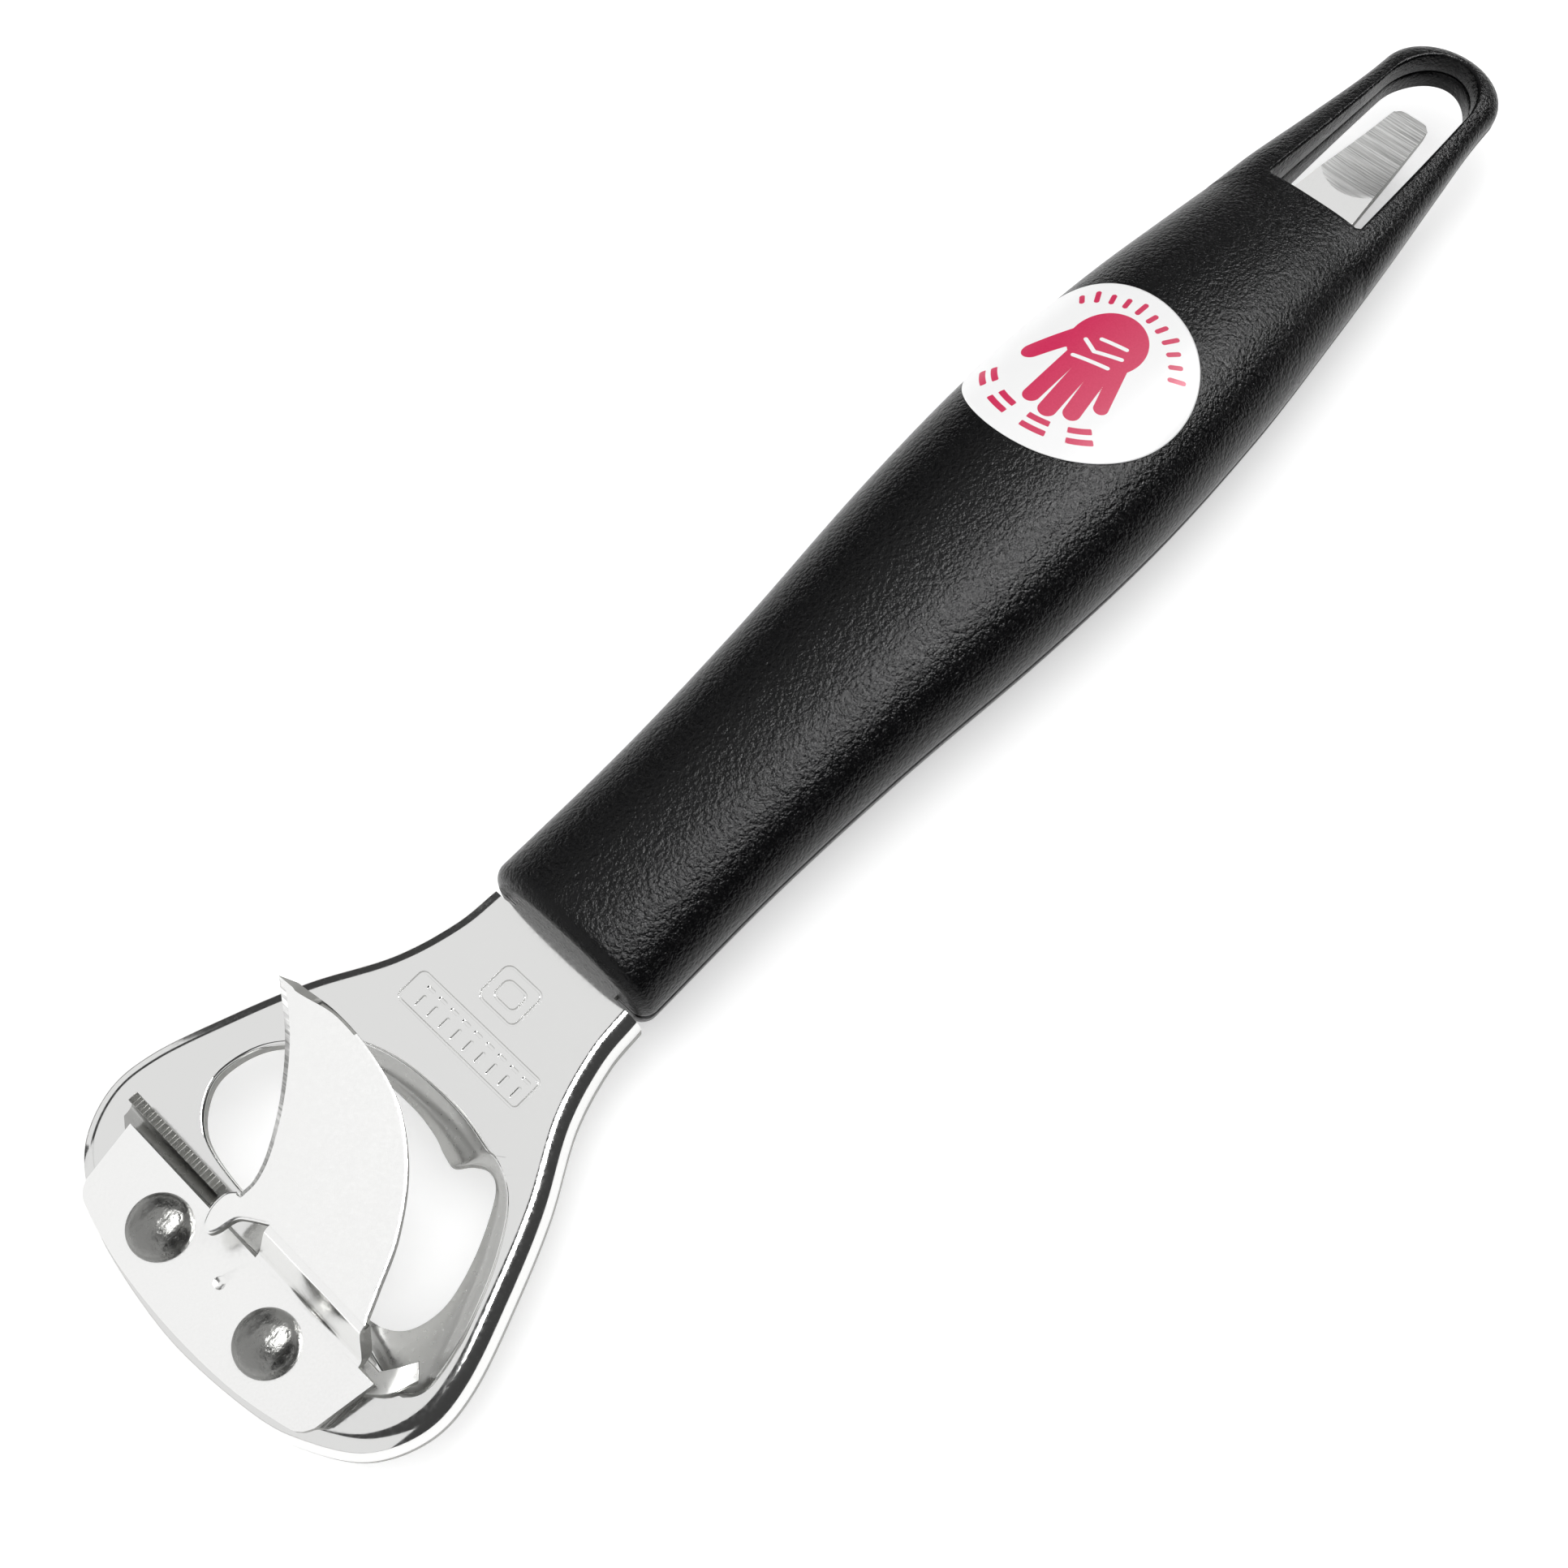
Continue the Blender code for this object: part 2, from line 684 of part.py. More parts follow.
def handle_shell(upper, loop_hole, material, group, cutters):
    """One moulded shell with its ribs, its seat for the tang and its share of the loop."""
    name = "handle_upper_shell" if upper else "handle_lower_shell"
    shell = shell_body(name, upper, material, group)
    for i, (start, end) in enumerate(zip(RIBS, RIBS[1:])):
        cut(shell, pocket_cutter(f"{name}_pocket_{i}", start + RIB, end, upper, cutters))
    for i, x in enumerate(PEGS):
        boss = circle(x, 0.0, BOSS_RADIUS)
        span = sorted((mid_wall(x, upper), 0.0 if upper else PARTING))
        cut(shell, slab_cutter(f"{name}_boss_{i}", boss, *span, cutters), "UNION")
    seat = (PARTING - 1.0, GAP) if upper else (-PLATE_THICKNESS - GAP, PARTING + 1.0)
    cut(shell, tang_cutter(f"{name}_seat", *seat, cutters))
    for i, x in enumerate(PEGS):
        if upper:
            socket = circle(x, 0.0, PEG_HOLE)
            cut(shell, slab_cutter(f"{name}_socket_{i}", socket, -2.0, PEG_LENGTH, cutters))
        else:
            peg = slab_cutter(
                f"{name}_peg_{i}", circle(x, 0.0, PEG_RADIUS), -4.0, PEG_LENGTH - GAP, cutters
            )
            cut(shell, peg, "UNION")
    cut(shell, loop_hole)
    return shell


def wrapped(x, arc, lift):
    """A point on the upper shell, an arc length round from the crest, lifted off the surface."""
    points = np.array(section(x, upper=True, steps=96))
    steps = np.linalg.norm(np.diff(points, axis=0), axis=1)
    along = np.concatenate(([0.0], np.cumsum(steps)))
    target = along[len(along) // 2] - arc
    near = [target - 0.3, target, target + 0.3]
    y = np.interp(near, along, points[:, 0])
    z = np.interp(near, along, points[:, 1])
    ahead, up = y[2] - y[0], z[2] - z[0]
    length = math.hypot(ahead, up)
    return x, y[1] + lift * up / length, PARTING + z[1] - lift * ahead / length


def label(material, group):
    """The round paper label, wrapped on the upper shell."""
    bm = bmesh.new()
    rings = 6
    sides = 40
    lift = GAP + LABEL_THICKNESS
    centre = bm.verts.new(world(*wrapped(LABEL_STATION, LABEL_ARC, lift)))
    rows = []
    for ring in range(1, rings + 1):
        row = []
        for i in range(sides):
            turn = 2 * math.pi * i / sides
            reach = LABEL_RADIUS * ring / rings
            x = LABEL_STATION + reach * math.cos(turn)
            arc = LABEL_ARC + reach * math.sin(turn)
            row.append(bm.verts.new(world(*wrapped(x, arc, lift))))
        rows.append(row)
    for inner, outer in zip(rows, rows[1:]):
        join_loops(bm, inner, outer, closed=True)
    for i in range(sides):
        bm.faces.new((centre, rows[0][i], rows[0][(i + 1) % sides]))
    return sheet_object("label", bm, LABEL_THICKNESS, material, group)


def main():
    clear_scene()
    tool = make_collection("can_opener")
    cutters = make_collection("cutters", hidden=True)
    polished = make_material("polished_stainless", (0.78, 0.78, 0.76), 0.12, 1.0)
    hardened = make_material("hardened_stainless", (0.84, 0.84, 0.83), 0.2, 1.0)
    grip_steel = make_material("grip_stainless", (0.7, 0.7, 0.69), 0.25, 1.0)
    rivet_steel = make_material("rivet_stainless", (0.55, 0.55, 0.55), 0.15, 1.0)
    moulded = make_material("black_plastic", (0.012, 0.012, 0.013), 0.45, 0.0)
    moulded_under = make_material("black_plastic_under", (0.016, 0.016, 0.017), 0.5, 0.0)
    paper = make_material("label_paper", (0.85, 0.84, 0.84), 0.4, 0.0)
    head_plate(polished, tool)
    blade(hardened, tool)
    grip_plate(grip_steel, tool)
    rivet("rivet_left", RIVET_Y, rivet_steel, tool)
    rivet("rivet_right", -RIVET_Y, rivet_steel, tool)
    loop_hole = loop_cutter(cutters)
    handle_shell(True, loop_hole, moulded, tool, cutters)
    handle_shell(False, loop_hole, moulded_under, tool, cutters)
    label(paper, tool)


main()
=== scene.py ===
import math

import bmesh
import bpy
import numpy as np
from bpy.props import FloatProperty, FloatVectorProperty, PointerProperty
from mathutils import Matrix, Vector


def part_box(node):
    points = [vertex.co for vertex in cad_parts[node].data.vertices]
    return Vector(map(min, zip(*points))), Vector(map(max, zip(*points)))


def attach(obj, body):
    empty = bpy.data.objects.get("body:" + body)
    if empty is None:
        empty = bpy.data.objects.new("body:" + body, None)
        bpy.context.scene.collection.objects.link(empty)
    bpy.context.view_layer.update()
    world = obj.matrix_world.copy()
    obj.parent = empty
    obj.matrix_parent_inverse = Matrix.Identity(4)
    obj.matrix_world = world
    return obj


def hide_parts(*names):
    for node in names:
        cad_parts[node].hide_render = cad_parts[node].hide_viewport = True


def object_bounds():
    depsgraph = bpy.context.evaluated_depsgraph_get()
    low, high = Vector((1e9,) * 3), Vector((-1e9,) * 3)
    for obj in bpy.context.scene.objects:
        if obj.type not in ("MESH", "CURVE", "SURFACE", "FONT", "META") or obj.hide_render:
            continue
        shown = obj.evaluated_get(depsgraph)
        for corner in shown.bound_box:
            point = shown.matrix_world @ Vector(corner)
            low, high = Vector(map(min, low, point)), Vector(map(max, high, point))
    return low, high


bl_info = {
    "name": "Left-Handed Can Opener",
    "version": (1, 0, 0),
    "blender": (4, 5, 0),
    "location": "3D View > Sidebar > Can Opener",
    "description": "Builds a riveted lever can opener with a moulded handle",
    "category": "Add Mesh",
}

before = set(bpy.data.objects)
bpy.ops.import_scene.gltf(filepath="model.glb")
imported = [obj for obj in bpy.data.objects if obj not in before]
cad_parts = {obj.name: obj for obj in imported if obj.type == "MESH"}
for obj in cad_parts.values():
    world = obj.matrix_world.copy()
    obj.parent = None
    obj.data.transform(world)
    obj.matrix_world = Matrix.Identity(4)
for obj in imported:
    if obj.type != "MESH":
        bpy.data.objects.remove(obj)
for startup_name in ("Cube", "Light", "Camera"):
    if startup_name in bpy.data.objects:
        bpy.data.objects.remove(bpy.data.objects[startup_name])

MM = 0.001
ROOT = "root"
CAD_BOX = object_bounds()
HEAD_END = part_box("head_plate")[0].x  # station 0, at the end of the head
PLATE_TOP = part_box("head_plate")[1].z
GROUND = CAD_BOX[0].z

# Stamped plate, in millimetres: x is a station from the head's end, y is to the left,
# and z is 0 on the plate's top face.
PLATE_THICKNESS = 1.4
RIM_STEPS = 12
RIM_WALL = (2.5, 3.1, 3.6)  # depths of the rows down the rim's wall
HEAD_LENGTH = 47.7
HEAD_HALF = [
    (0.0, 0.0), (0.9, 9.2), (2.5, 14.2), (5.6, 19.0), (10.4, 21.48), (15.6, 21.28), (23.0, 18.8),
    (30.0, 15.9), (37.0, 12.1), (43.0, 10.3), (HEAD_LENGTH, 9.9),
]
TANG_HALF_WIDTH = 6.5
TANG_TAPER_START = 143.0
TANG_END = 168.0
LIFTER_TIP = 189.4
LIFTER_TIP_HALF_WIDTH = 2.3
LIFTER_CORNER = 0.8
BEVEL_START = 174.9
BEVEL_BOW = 1.8  # how far the bevel's start bows toward the head
BEVEL_HOLLOW = 0.24
LIFTER_EDGE = 0.5

WINDOW_CENTRE = (20.0, -1.0)
WINDOW_FLAT = [
    (12.3, 0.0), (12.3, 6.0), (13.2, 11.2), (15.6, 14.2), (18.8, 15.2), (23.4, 14.1), (27.4, 10.6),
    (30.2, 5.0), (31.1, -1.0), (30.8, -6.8), (28.9, -12.0), (24.4, -15.4), (18.6, -17.9),
    (14.4, -19.1), (11.8, -19.0), (10.9, -17.2), (11.5, -13.0), (12.2, -6.5),
]
WINDOW_EDGE = [
    (13.1, 0.0), (13.1, 6.0), (13.9, 10.8), (16.0, 13.4), (18.8, 14.4), (22.8, 13.3), (26.0, 10.0),
    (28.1, 5.2), (28.5, 0.6), (28.1, -2.8), (27.4, -5.0), (27.3, -6.3), (28.5, -7.4), (29.2, -8.8),
    (28.5, -10.5), (26.0, -12.1), (22.6, -13.6), (19.0, -14.5), (16.2, -14.2), (14.3, -13.0),
    (13.3, -10.6), (13.1, -6.0),
]
FUNNEL_BEARING = (-38, 82, 22)  # degrees: its middle, half its span, the blend at each end
FUNNEL_DEPTH = 2.4
FUNNEL_START = 0.3  # below this depth the steel is satin, and its darker colour is painted shade in the recess
FUNNEL_PROFILE = [
    (0.0, 0.0), (0.1, 0.06), (0.22, 0.24), (0.42, 0.56), (0.7, 0.86), (1.0, 1.0),
]
CUT_ROLL = 0.25  # depth of the rolled edge where the window is only cut
CUT_WIDTH = 0.4  # its width, as a share of the slope's
STAMP_DEPTH = 0.22
STAMP_SLOPE = 0.07
STAMP_STROKE = 0.3
NAME_FRAME = (34.1, 37.8, -7.4, 8.3)  # stations and sides of the plain stamped frames
SEAL_FRAME = (39.2, 43.6, -1.9, 3.0)

# Rivets
RIVET_STATION = 6.3
RIVET_Y = 6.9
RIVET_HEAD = 2.9
RIVET_DOME = 2.1
RIVET_SHANK = 1.7
HOLE_CLEARANCE = 0.2
RIVET_SEAT = 0.05
RIVET_SIDES = 72
RIVET_TAIL = 2.6
RIVET_TAIL_HEIGHT = 0.7

# Toothed grip plate
GRIP_TOP = 1.25
GRIP_EDGE = 10.2
GRIP_OUTLINE = [
    (8.8, 15.2), (3.4, 13.2), (2.3, 7.0), (1.9, 0.0), (2.3, -7.0), (3.4, -13.2), (5.0, -15.0),
]
LEDGE_STATION = 11.4
LEDGE_HEIGHT = 3.4
LEDGE_FROM = 5.6
LEDGE_TO = 17.2
LEDGE_TEETH = 12
TOOTH_DEPTH = 0.45
WING = [
    [(11.1, -15.0, GRIP_TOP), (8.8, -15.0, GRIP_TOP)],
    [(12.6, -16.0, GRIP_TOP - 0.1), (10.4, -16.9, GRIP_TOP)],
    [(14.0, -16.7, 0.55), (12.9, -17.9, 0.9)],
]

# Blade
STRIP_TOP = 2.7
BLADE_TOP = 6.8
STRIP_HALF = [(1.5, 0.0), (1.9, 7.2), (3.0, 12.6), (3.6, 14.0), (4.6, 14.7)]
FOLD_STATION = 10.2
STRIP_CORNER = (FOLD_STATION, 15.7)
RISER_FROM = -0.9
RISER_TO = -13.8
RISER_FLARE = 1.2
RISER_SIDE = 0.12  # width of the strip of faces along each side of the riser
TIP_FACES = 14  # faces of the back's bevel beside the blade's tip
RISER_PATH = [(0.0, 0.0), (0.45, 0.25), (0.8, 0.9), (1.7, 3.1), (2.1, 3.75), (2.7, 4.0)]
CUTTING_EDGE = [
    (27.7, 15.2), (24.4, 10.6), (20.6, 6.9), (17.0, 4.3), (14.6, 3.2), (12.9, 3.1),
]
NOSE = [(12.0, 3.8), (10.5, 3.8), (9.2, 3.2), (8.9, 2.4), (9.6, 1.9), (11.2, 1.5), (12.0, 0.6)]
BACK_EDGE = [
    (15.4, -11.4), (19.6, -9.3), (24.0, -5.7), (27.2, -1.0), (28.6, 4.2), (28.9, 8.8),
    (28.4, 13.4),
]
EDGE_THICKNESS = 0.25

# Handle
HANDLE_FRONT = 48.0
PARTING = -0.7
PARTING_GAP = 0.12
FOOT_TOP = PARTING_GAP + 0.2  # the moulding's edge is chamfered below this height
FOOT_INSET = 0.15
FRONT_ROUND = 1.6
HANDLE_STATIONS = [  # station, half-width, rise above the parting plane, drop below it
    (48.0, 10.1, 6.6, 7.3),
    (66.0, 10.2, 7.2, 7.9),
    (84.0, 11.2, 8.0, 7.9),
    (104.0, 13.0, 8.8, 7.9),
    (122.0, 13.8, 9.2, 7.9),
    (140.0, 13.2, 8.6, 7.9),
    (155.0, 11.8, 7.0, 7.2),
    (168.0, 10.4, 5.1, 5.5),
    (180.0, 8.9, 3.8, 4.0),
    (190.0, 7.7, 3.3, 3.2),
    (200.0, 7.2, 3.0, 2.9),
]
OVERALL_LENGTH = 199.9
TIP_ROUND = 6.4
SECTION_POWER = 2.35
EYE_FRONT = (166.1, 6.1)
EYE_BACK = (190.0, 5.2)
EYE_END = 197.7
EYE_ROUND = 0.45  # radius of the edge round the hanging eye
EYE_FULLNESS = 0.75  # how much squarer the section grows, over this many millimetres
EYE_BLEND = 10.0
RING_START = 160.6  # the plain loft ends here, and the mesh round the eye begins

# Label
LABEL_STATION = 127.7
LABEL_ARC = 3.9
LABEL_THICKNESS = 0.12
LABEL_GLUE = 0.03

# Camera: the lens and the stand that give the usual three-quarter view of the head
CAMERA_AZIMUTH = -47.77
CAMERA_ELEVATION = 63.93
CAMERA_ROLL = 0.99
CAMERA_TARGET = (75.26, 7.8, 0.0)
CAMERA_DISTANCE = 182.3
CAMERA_LENS = 42.37
CAMERA_SHIFT = (0.05, -0.05)
FLOOR_REACH = 3.0  # metres


# --- helpers


def linear(hex_colour):
    """An sRGB hex colour as linear red, green, blue and alpha."""
    values = [int(hex_colour[i : i + 2], 16) / 255 for i in (1, 3, 5)]
    low = [v / 12.92 for v in values]
    high = [((v + 0.055) / 1.055) ** 2.4 for v in values]
    return [a if v <= 0.04045 else b for v, a, b in zip(values, low, high)] + [1.0]


def at(x, y, z):
    """A point in the frame from a station, a distance to the left and a height over the plate."""
    return Vector((HEAD_END + x * MM, y * MM, PLATE_TOP + z * MM))


def spline(points, steps, closed=False):
    """Points along a smooth curve through the given ones, with steps between neighbours."""
    knots = [np.array(point, float) for point in points]
    count = len(knots)
    spans = count if closed else count - 1
    curve = []
    for i in range(spans):
        if closed:
            a, b, c, d = (knots[(i + k) % count] for k in (-1, 0, 1, 2))
        else:
            b, c = knots[i], knots[i + 1]
            a = knots[i - 1] if i else 2 * b - c
            d = knots[i + 2] if i + 2 < count else 2 * c - b
        for step in range(steps):
            t = step / steps
            point = 2 * b + (c - a) * t + (2 * a - 5 * b + 4 * c - d) * t**2
            curve.append((point + (3 * b - a - 3 * c + d) * t**3) / 2)
    if not closed:
        curve.append(knots[-1])
    return curve


def inset(points, distances):
    """The points moved to the left of their direction of travel."""
    moved = []
    for i, point in enumerate(points):
        before = points[i - 1] if i else point
        after = points[i + 1] if i + 1 < len(points) else point
        along = (after - before) / np.linalg.norm(after - before)
        moved.append(point + distances[i] * np.array((-along[1], along[0])))
    return moved


def smooth_share(value):
    """A step from 0 to 1 with soft ends."""
    value = min(max(value, 0.0), 1.0)
    return value * value * (3 - 2 * value)


def circle(x, y, radius, sides):
    turns = [2 * math.pi * i / sides for i in range(sides)]
    return [np.array((x + radius * math.cos(a), y + radius * math.sin(a))) for a in turns]


def add_verts(bm, points, z):
    heights = z if isinstance(z, (list, tuple)) else [z] * len(points)
    return [bm.verts.new(at(p[0], p[1], h)) for p, h in zip(points, heights)]


def join_rows(bm, upper, lower, closed=False):
    """Quads between two rows of vertices of the same length."""
    count = len(upper)
    for i in range(count if closed else count - 1):
        j = (i + 1) % count
        bm.faces.new((upper[i], upper[j], lower[j], lower[i]))


def fill_between(bm, loops):
    """Faces over the flat region inside the first loop and outside the others."""
    edges = []
    for loop in loops:
        for i, vert in enumerate(loop):
            pair = (vert, loop[(i + 1) % len(loop)])
            edges.append(bm.edges.get(pair) or bm.edges.new(pair))
    bmesh.ops.triangle_fill(bm, use_beauty=True, use_dissolve=False, edges=edges)


def new_piece(name, bm, materials, sharp=38.0):
    """An object from a bmesh, shaded smooth up to an angle, in the scene's collection."""
    mesh = bpy.data.meshes.new(name)
    bm.to_mesh(mesh)
    bm.free()
    mesh.shade_smooth()
    mesh.set_sharp_from_angle(angle=math.radians(sharp))
    for material in materials:
        mesh.materials.append(material)
    piece = bpy.data.objects.new(name, mesh)
    bpy.context.scene.collection.objects.link(piece)
    return piece


def declare(piece, node):
    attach(piece, ROOT)
    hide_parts(node)


def face_upward(bm):
    """Turns the sheet's faces so that its widest face looks up."""
    bmesh.ops.recalc_face_normals(bm, faces=bm.faces)
    widest = max(bm.faces, key=lambda face: face.calc_area())
    widest.normal_update()
    if widest.normal.z < 0:
        bmesh.ops.reverse_faces(bm, faces=bm.faces)


def thicken(bm, thickness, depths=None):
    """Closes a sheet below its top surface. The walls of its cut edges take the second material.

    A vertex in depths goes straight down by its own depth, and the others along their normals.
    """
    face_upward(bm)
    bm.normal_update()
    depths = depths or {}
    faces = list(bm.faces)
    free_edges = [edge for edge in bm.edges if edge.is_boundary]
    below = {}
    for vert in list(bm.verts):
        if vert in depths:
            offset = Vector((0.0, 0.0, -depths[vert] * MM))
        else:
            offset = -vert.normal * thickness * MM * min(vert.calc_shell_factor(), 1.3)
        below[vert] = bm.verts.new(vert.co + offset)
    for face in faces:
        lower = bm.faces.new([below[vert] for vert in reversed(face.verts)])
        lower.material_index = face.material_index
    for edge in free_edges:
        loop = edge.link_loops[0]
        first, second = loop.vert, loop.link_loop_next.vert
        wall = bm.faces.new((second, first, below[first], below[second]))
        wall.material_index = 1


def sheet_piece(name, bm, materials, rounding):
    piece = new_piece(name, bm, materials)
    edge = piece.modifiers.new("rolled_edges", "BEVEL")
    edge.width = rounding * MM
    edge.segments = 3
    edge.limit_method = "ANGLE"
    edge.angle_limit = math.radians(50)
    weighted = piece.modifiers.new("flat_faces_stay_flat", "WEIGHTED_NORMAL")
    weighted.keep_sharp = True
    weighted.weight = 100
    return piece


# --- materials

MIX_A, MIX_B, MIX_RESULT = 6, 7, 2  # the colour sockets of a mix node
PRINT_EDGE = 0.03  # half the soft edge of the ink


def add_node(tree, kind, settings=None, links=None):
    """Adds a node. Settings go to its sockets or properties, and links name what feeds a socket."""
    node = tree.nodes.new(kind)
    for key, value in (settings or {}).items():
        if isinstance(key, str) and hasattr(node, key):
            setattr(node, key, value)
        else:
            node.inputs[key].default_value = value
    for socket, source in (links or {}).items():
        tree.links.new(source, node.inputs[socket])
    return node


def shader_of(material):
    return material.node_tree.nodes["Principled BSDF"]


def new_material(name, colour, **values):
    """A material with its Principled shader set from values."""
    material = bpy.data.materials.new(name)
    material.use_nodes = True
    shader_of(material).inputs["Base Color"].default_value = colour
    for socket, value in values.items():
        shader_of(material).inputs[socket].default_value = value
    return material


def grained(
    name, colour, grain, relief, rough=None, haze=None, turn=0.0, stretch=(1, 1, 1), **values
):
    """A material with one grain pressed into it. Returns the material and the grain's socket.

    grain is a noise's scale, detail and roughness in object coordinates, which are metres, so that
    a scale of 1000 repeats about once a millimetre. relief is the strength of the emboss and its
    depth in millimetres. rough is the range that the noise mostly lies in, and the roughness at its
    two ends. It follows the grain, unless haze gives a noise of its own.
    """
    material = new_material(name, colour, **values)
    tree = material.node_tree
    shader = shader_of(material)
    where = add_node(tree, "ShaderNodeTexCoord").outputs["Object"]
    settings = {"Rotation": (0.0, 0.0, math.radians(turn)), "Scale": stretch}
    where = add_node(tree, "ShaderNodeMapping", settings, {"Vector": where}).outputs["Vector"]
    noises = {}
    for key in dict.fromkeys((grain, haze or grain)):
        settings = dict(zip(("Scale", "Detail", "Roughness"), key))
        noise = add_node(tree, "ShaderNodeTexNoise", settings, {"Vector": where})
        noises[key] = noise.outputs["Fac"]
    settings = {"Strength": relief[0], "Distance": relief[1] * MM}
    bump = add_node(tree, "ShaderNodeBump", settings, {"Height": noises[grain]})
    tree.links.new(bump.outputs["Normal"], shader.inputs["Normal"])
    if rough:
        settings = dict(zip(("From Min", "From Max", "To Min", "To Max"), rough))
        source = {"Value": noises[haze or grain]}
        mapped = add_node(tree, "ShaderNodeMapRange", settings, source)
        tree.links.new(mapped.outputs["Result"], shader.inputs["Roughness"])
    return material, noises[grain]


def polished_stainless(colour):
    """Stainless sheet, blanked, drawn and tumbled bright.

    The eye sees a near mirror that is broken by a faint haze, and by orange peel about 1.5 mm wide
    from the drawing.
    """
    peel, haze = (650.0, 2.0, 0.5), (2600.0, 4.0, 0.5)
    rough = (0.35, 0.75, 0.07, 0.15)
    name = "stainless_tumbled_bright"
    return grained(name, colour, peel, (0.35, 0.01), rough, haze, Metallic=1.0)[0]


def bright_blade_steel(colour):
    """Hardened stainless strip, barrel polished: a soft, nearly white satin, grain 0.3 mm wide."""
    rough = (0.3, 0.7, 0.16, 0.26)
    name = "blade_steel_barrel_polished"
    return grained(name, colour, (3200.0, 3.0, 0.5), (0.25, 0.006), rough, Metallic=1.0)[0]


def sheared_stainless(colour):
    """The edge of a blanked sheet: a dull fracture, with drag lines 0.2 mm apart down its wall."""
    torn = (5200.0, 5.0, 0.7)
    rough = (0.3, 0.7, 0.32, 0.6)
    name = "stainless_sheared_edge"
    down = (1.0, 1.0, 0.25)
    return grained(name, colour, torn, (0.8, 0.04), rough, stretch=down, Metallic=1.0)[0]


def drawn_stainless(colour):
    """Sheet drawn over a punch: a satin that softens what it mirrors, with grain 0.45 mm wide."""
    rough = (0.3, 0.7, 0.26, 0.34)
    name = "stainless_drawn_satin"
    return grained(name, colour, (2200.0, 4.0, 0.5), (0.15, 0.01), rough, Metallic=1.0)[0]


def ground_stainless(colour):
    """Steel ground on a belt: straight scratches across the bevel, some deep and dark.

    The scratches of a 120 grit belt are about 0.1 mm apart. They are drawn at 0.2 mm, to show.
    """
    values = {"Metallic": 1.0, "Roughness": 0.28}
    belt = {"turn": 5.0, "stretch": (1.0, 0.02, 0.02)}
    name = "stainless_belt_ground"
    material, lines = grained(name, colour, (5000.0, 6.0, 0.75), (0.7, 0.03), **belt, **values)
    tree = material.node_tree
    shade = add_node(tree, "ShaderNodeValToRGB", None, {"Fac": lines})
    dark, bright = shade.color_ramp.elements
    dark.position = 0.3
    dark.color = linear("#6E6E6D")
    bright.position = 0.62
    bright.color = colour
    tree.links.new(shade.outputs["Color"], shader_of(material).inputs["Base Color"])
    return material


def rivet_steel(colour):
    """Cold-headed stainless wire: a dark bright dome with dimples left by the setting tool."""
    rough = (0.35, 0.7, 0.24, 0.4)
    name = "rivet_wire_cold_headed"
    return grained(name, colour, (900.0, 5.0, 0.5), (1.0, 0.18), rough, Metallic=1.0)[0]


def moulded_black(colour):
    """Black polypropylene, moulded against a spark-eroded tool.

    The pebbled grain, about 0.25 mm across, breaks each highlight into sparkling dots. It is drawn
    at 0.5 mm, so that it still shows at arm's length. The pits keep the reflections faint.
    """
    rough = (0.3, 0.7, 0.15, 0.3)
    name = "polypropylene_moulded_grained"
    material, _ = grained(name, colour, (2100.0, 3.0, 0.62), (1.0, 0.15), rough, IOR=1.49)
    shader_of(material).inputs["Specular IOR Level"].default_value = 0.2
    return material


def printed_paper(paper, ink):
    """Coated label paper with one flat litho ink. The ink attribute is the distance into the print.

    The fibres under the coating are 0.2 mm apart, and the ink takes a slightly uneven tone on them.
    """
    name = "label_paper_coated_printed"
    material, fibre = grained(name, paper, (4500.0, 3.0, 0.5), (0.12, 0.01), Roughness=0.38)
    tree = material.node_tree
    distance = add_node(tree, "ShaderNodeAttribute", {"attribute_name": "ink"}).outputs["Fac"]
    settings = {"From Min": -PRINT_EDGE, "From Max": PRINT_EDGE}
    share = add_node(tree, "ShaderNodeMapRange", settings, {"Value": distance})
    tones = {"data_type": "RGBA", MIX_A: ink, MIX_B: linear("#DA3464")}
    tone = add_node(tree, "ShaderNodeMix", tones, {"Factor": fibre}).outputs[MIX_RESULT]
    sources = {"Factor": share.outputs["Result"], MIX_B: tone}
    mix = add_node(tree, "ShaderNodeMix", {"data_type": "RGBA", MIX_A: paper}, sources)
    tree.links.new(mix.outputs[MIX_RESULT], shader_of(material).inputs["Base Color"])
    return material


# --- plate, blade and grip plate


def head_outline(steps):
    other = [(x, -y) for x, y in HEAD_HALF[1:]]
    return spline(HEAD_HALF[::-1] + other, steps)


def funnel_share(angle):
    """1 where the window's edge is drawn down, 0 where it is only cut."""
    middle, half_span, blend = (math.radians(angle) for angle in FUNNEL_BEARING)
    away = abs((angle - middle + math.pi) % (2 * math.pi) - math.pi)
    return smooth_share((half_span + blend - away) / blend)


def even_bearings(points, centre):
    """Bearings of a loop's points from its centre, evened out so that they never turn back."""
    bearing = np.unwrap([math.atan2(*(point - centre)[::-1]) for point in points])
    turn = 2 * math.pi * np.sign(bearing[-1] - bearing[0])
    reach = 14
    padded = np.concatenate((bearing[-reach:] - turn, bearing, bearing[:reach] + turn))
    kernel = np.hanning(2 * reach + 3)[1:-1]
    return np.convolve(padded, kernel / kernel.sum(), mode="valid")


